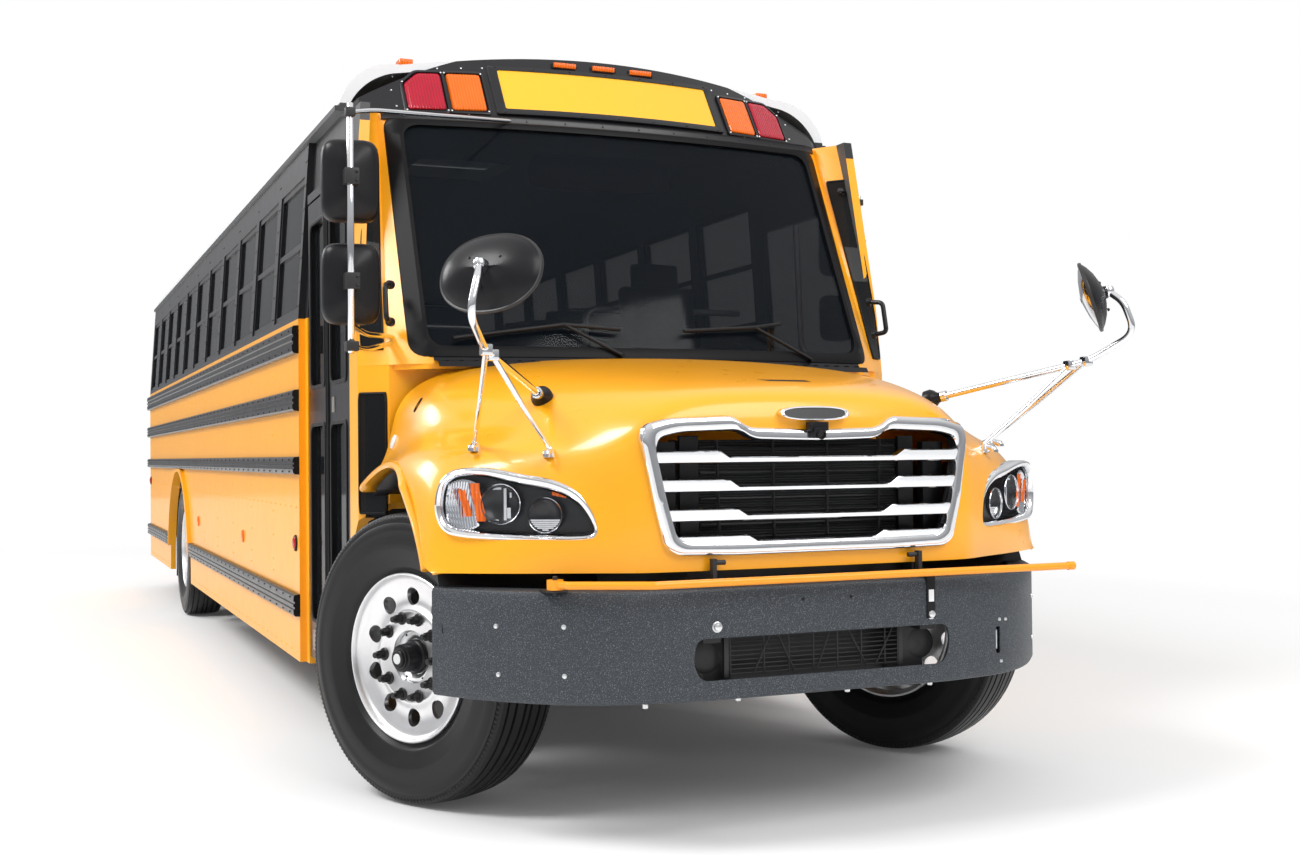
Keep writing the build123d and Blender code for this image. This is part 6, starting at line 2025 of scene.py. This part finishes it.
def makeStopSign():
    borders, lamps = bmesh.new(), bmesh.new()
    centre = (-1.965, 1.64)
    for y, out in ((1.2742, 1), (1.2638, -1)):
        rows = []
        for apothem, lift in ((.2245, 0), (.224, .0012), (.206, .0012), (.2055, 0)):
            reach = apothem / math.cos(math.pi / 8)
            rows.append([at(centre[0] + reach * math.cos(math.pi / 8 + math.pi / 4 * k), y + out * lift,
                            centre[1] + reach * math.sin(math.pi / 8 + math.pi / 4 * k)) for k in range(8)])
        addGrid(borders, rows, False, True)
        for dz in (-.125, .125):
            spot = at(centre[0], y, centre[1] + dz)
            addLathe(lamps, [(-.001, .046), (.006, .046), (.01, .04), (.016, .024), (.018, 0)], spot,
                     (0, out, 0), 28)
    made = piece("stopBorder", borders, "signWhite", "stop_arm", .3)
    made = piece("stopLamps", lamps, "red", "stop_arm")


def makeRear():
    rearX = bodyShape["rearX"]
    seals, red, amber, clear, plate = (bmesh.new() for _ in range(5))
    place = placeOf(at(rearX, 0, 0), (0, -1, 0), (0, 0, 1))
    for y0, y1 in ((.56, 1.08), (-1.08, -.56)):
        addRing(seals, place, y0, y1, 1.96, 2.48, .05, .03, .01)
    doorSeals = bmesh.new()
    for z0, z1 in ((1.56, 2.3), (1.13, 1.44)):
        addRing(doorSeals, place, -.3, .3, z0, z1, .05, .026, .009)
    for z in (1.12, 1.5, 2.32):
        addBox(doorSeals, at(rearX - .006, -.355, z - .028), at(rearX, -.305, z + .028), .002)
        for y in (-.345, -.318):
            addDome(doorSeals, at(rearX - .006, y, z), (-1, 0, 0), .006, .004, 6)
    addBox(doorSeals, at(rearX - .012, .315, 1.44), at(rearX, .345, 1.56), .004)
    made = piece("rearDoorTrim", doorSeals, "rubber", "rear_door")
    for side in (1, -1):
        for bm, z, radius in ((red, 1.48, .088), (amber, 1.27, .088), (clear, 1.09, .052)):
            centre = at(rearX, side * .9, z)
            face = [(-.001, radius * .93), (.01, radius * .93), (.014, radius * .85), (.0158, radius * .5),
                    (.016, 0)]
            addLathe(bm, face, centre, (-1, 0, 0), 40)
            edge = [(-.001, radius + .012), (.01, radius + .012), (.014, radius + .006),
                    (.014, radius * .95), (.004, radius * .93)]
            addLathe(seals, edge, centre, (-1, 0, 0), 40)
        addBox(red, at(rearX - .01, side * 1.1 - .03, .93), at(rearX, side * 1.1 + .03, .99), .004)
    addBox(plate, at(rearX - .006, .56, 1.14), at(rearX - .002, .84, 1.29), .001)
    addRing(seals, place, -.86, -.54, 1.125, 1.305, .02, .014, .008)
    addBox(seals, at(rearX - .03, .655, 1.325), at(rearX, .745, 1.35), .006)
    made = piece("rearSeals", seals, "rubber", "bus_body")
    made = piece("rearReds", red, "red", "bus_body")
    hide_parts("tail_lamps")
    made = piece("rearAmbers", amber, "amber", "bus_body")
    made = piece("reverseLamps", clear, "signWhite", "bus_body")
    piece("blankPlate", plate, "signWhite", "bus_body")


def makeSkirtDoors():
    # panel doors on the left skirt
    bm = bmesh.new()
    left = placeOf(at(0, bodyShape["wallY"], 0), (-1, 0, 0), (0, 0, 1))
    for x0, x1, z0, z1 in ((-2.55, -1.9, .66, .98), (-4.62, -4.36, .72, .98), (-8.9, -8.4, .66, .98)):
        addRing(bm, left, -x1, -x0, z0, z1, .02, .01, .0035)
        knob = at((x0 + x1) / 2, bodyShape["wallY"], z0 + .05)
        addLathe(bm, [(0, .016), (.005, .016), (.007, .012), (.007, 0)], knob, (0, 1, 0), 16)
    made = piece("skirtDoors", bm, "yellow", "bus_body")


# rails behind the entrance and behind the driver
insideRails = (((-1.52, -1.05, 1.02), (-1.52, -1.05, 1.86), (-1.52, -.36, 1.86), (-1.52, -.36, 1.02)),
               ((-1.62, .22, 1.02), (-1.62, .22, 1.98), (-1.62, 1.08, 1.98)))


def makeSideDetails():
    # side reflectors and the poles and rails inside
    reds, tubes = bmesh.new(), bmesh.new()
    for side in (1, -1):
        for x in (-3.4, -5.7):
            addLathe(reds, [(-.001, .036), (.006, .036), (.01, .028), (.011, 0)],
                     at(x, side * bodyShape["wallY"], .8), (0, side, 0), 24)
        post = [(-.62, side * .98, 1.64), (-.66, side * .92, 1.72), (-.7, side * .92, 2.3)]
        addTube(tubes, roundedPath([at(*spot) for spot in post], .05), .014, 10)
    for path in insideRails:
        addTube(tubes, roundedPath([at(*spot) for spot in path], .08), .016, 12)
    made = piece("sideReflectors", reds, "amber", "bus_body")
    piece("stanchions", tubes, "alloy", "bus_body")


def makeInsideMirror():
    bm = bmesh.new()
    place = placeOf(at(-.83, 0, 2.5), (0, 1, 0), (.25, 0, 1))
    layers = [(.02, -.012), (.6, -.01), (.96, -.004), (1, .004), (.9, .01), (.02, .012)]
    addSoftBox(bm, place, .34, .075, layers, 6.0)
    piece("insideMirror", bm, "plastic", "bus_body")


makeRails()
makeRivets()
makeDoorDetails()
makeCabDetails()
makeStopSign()
makeRear()
makeSkirtDoors()
makeSideDetails()
makeInsideMirror()
print("details made")
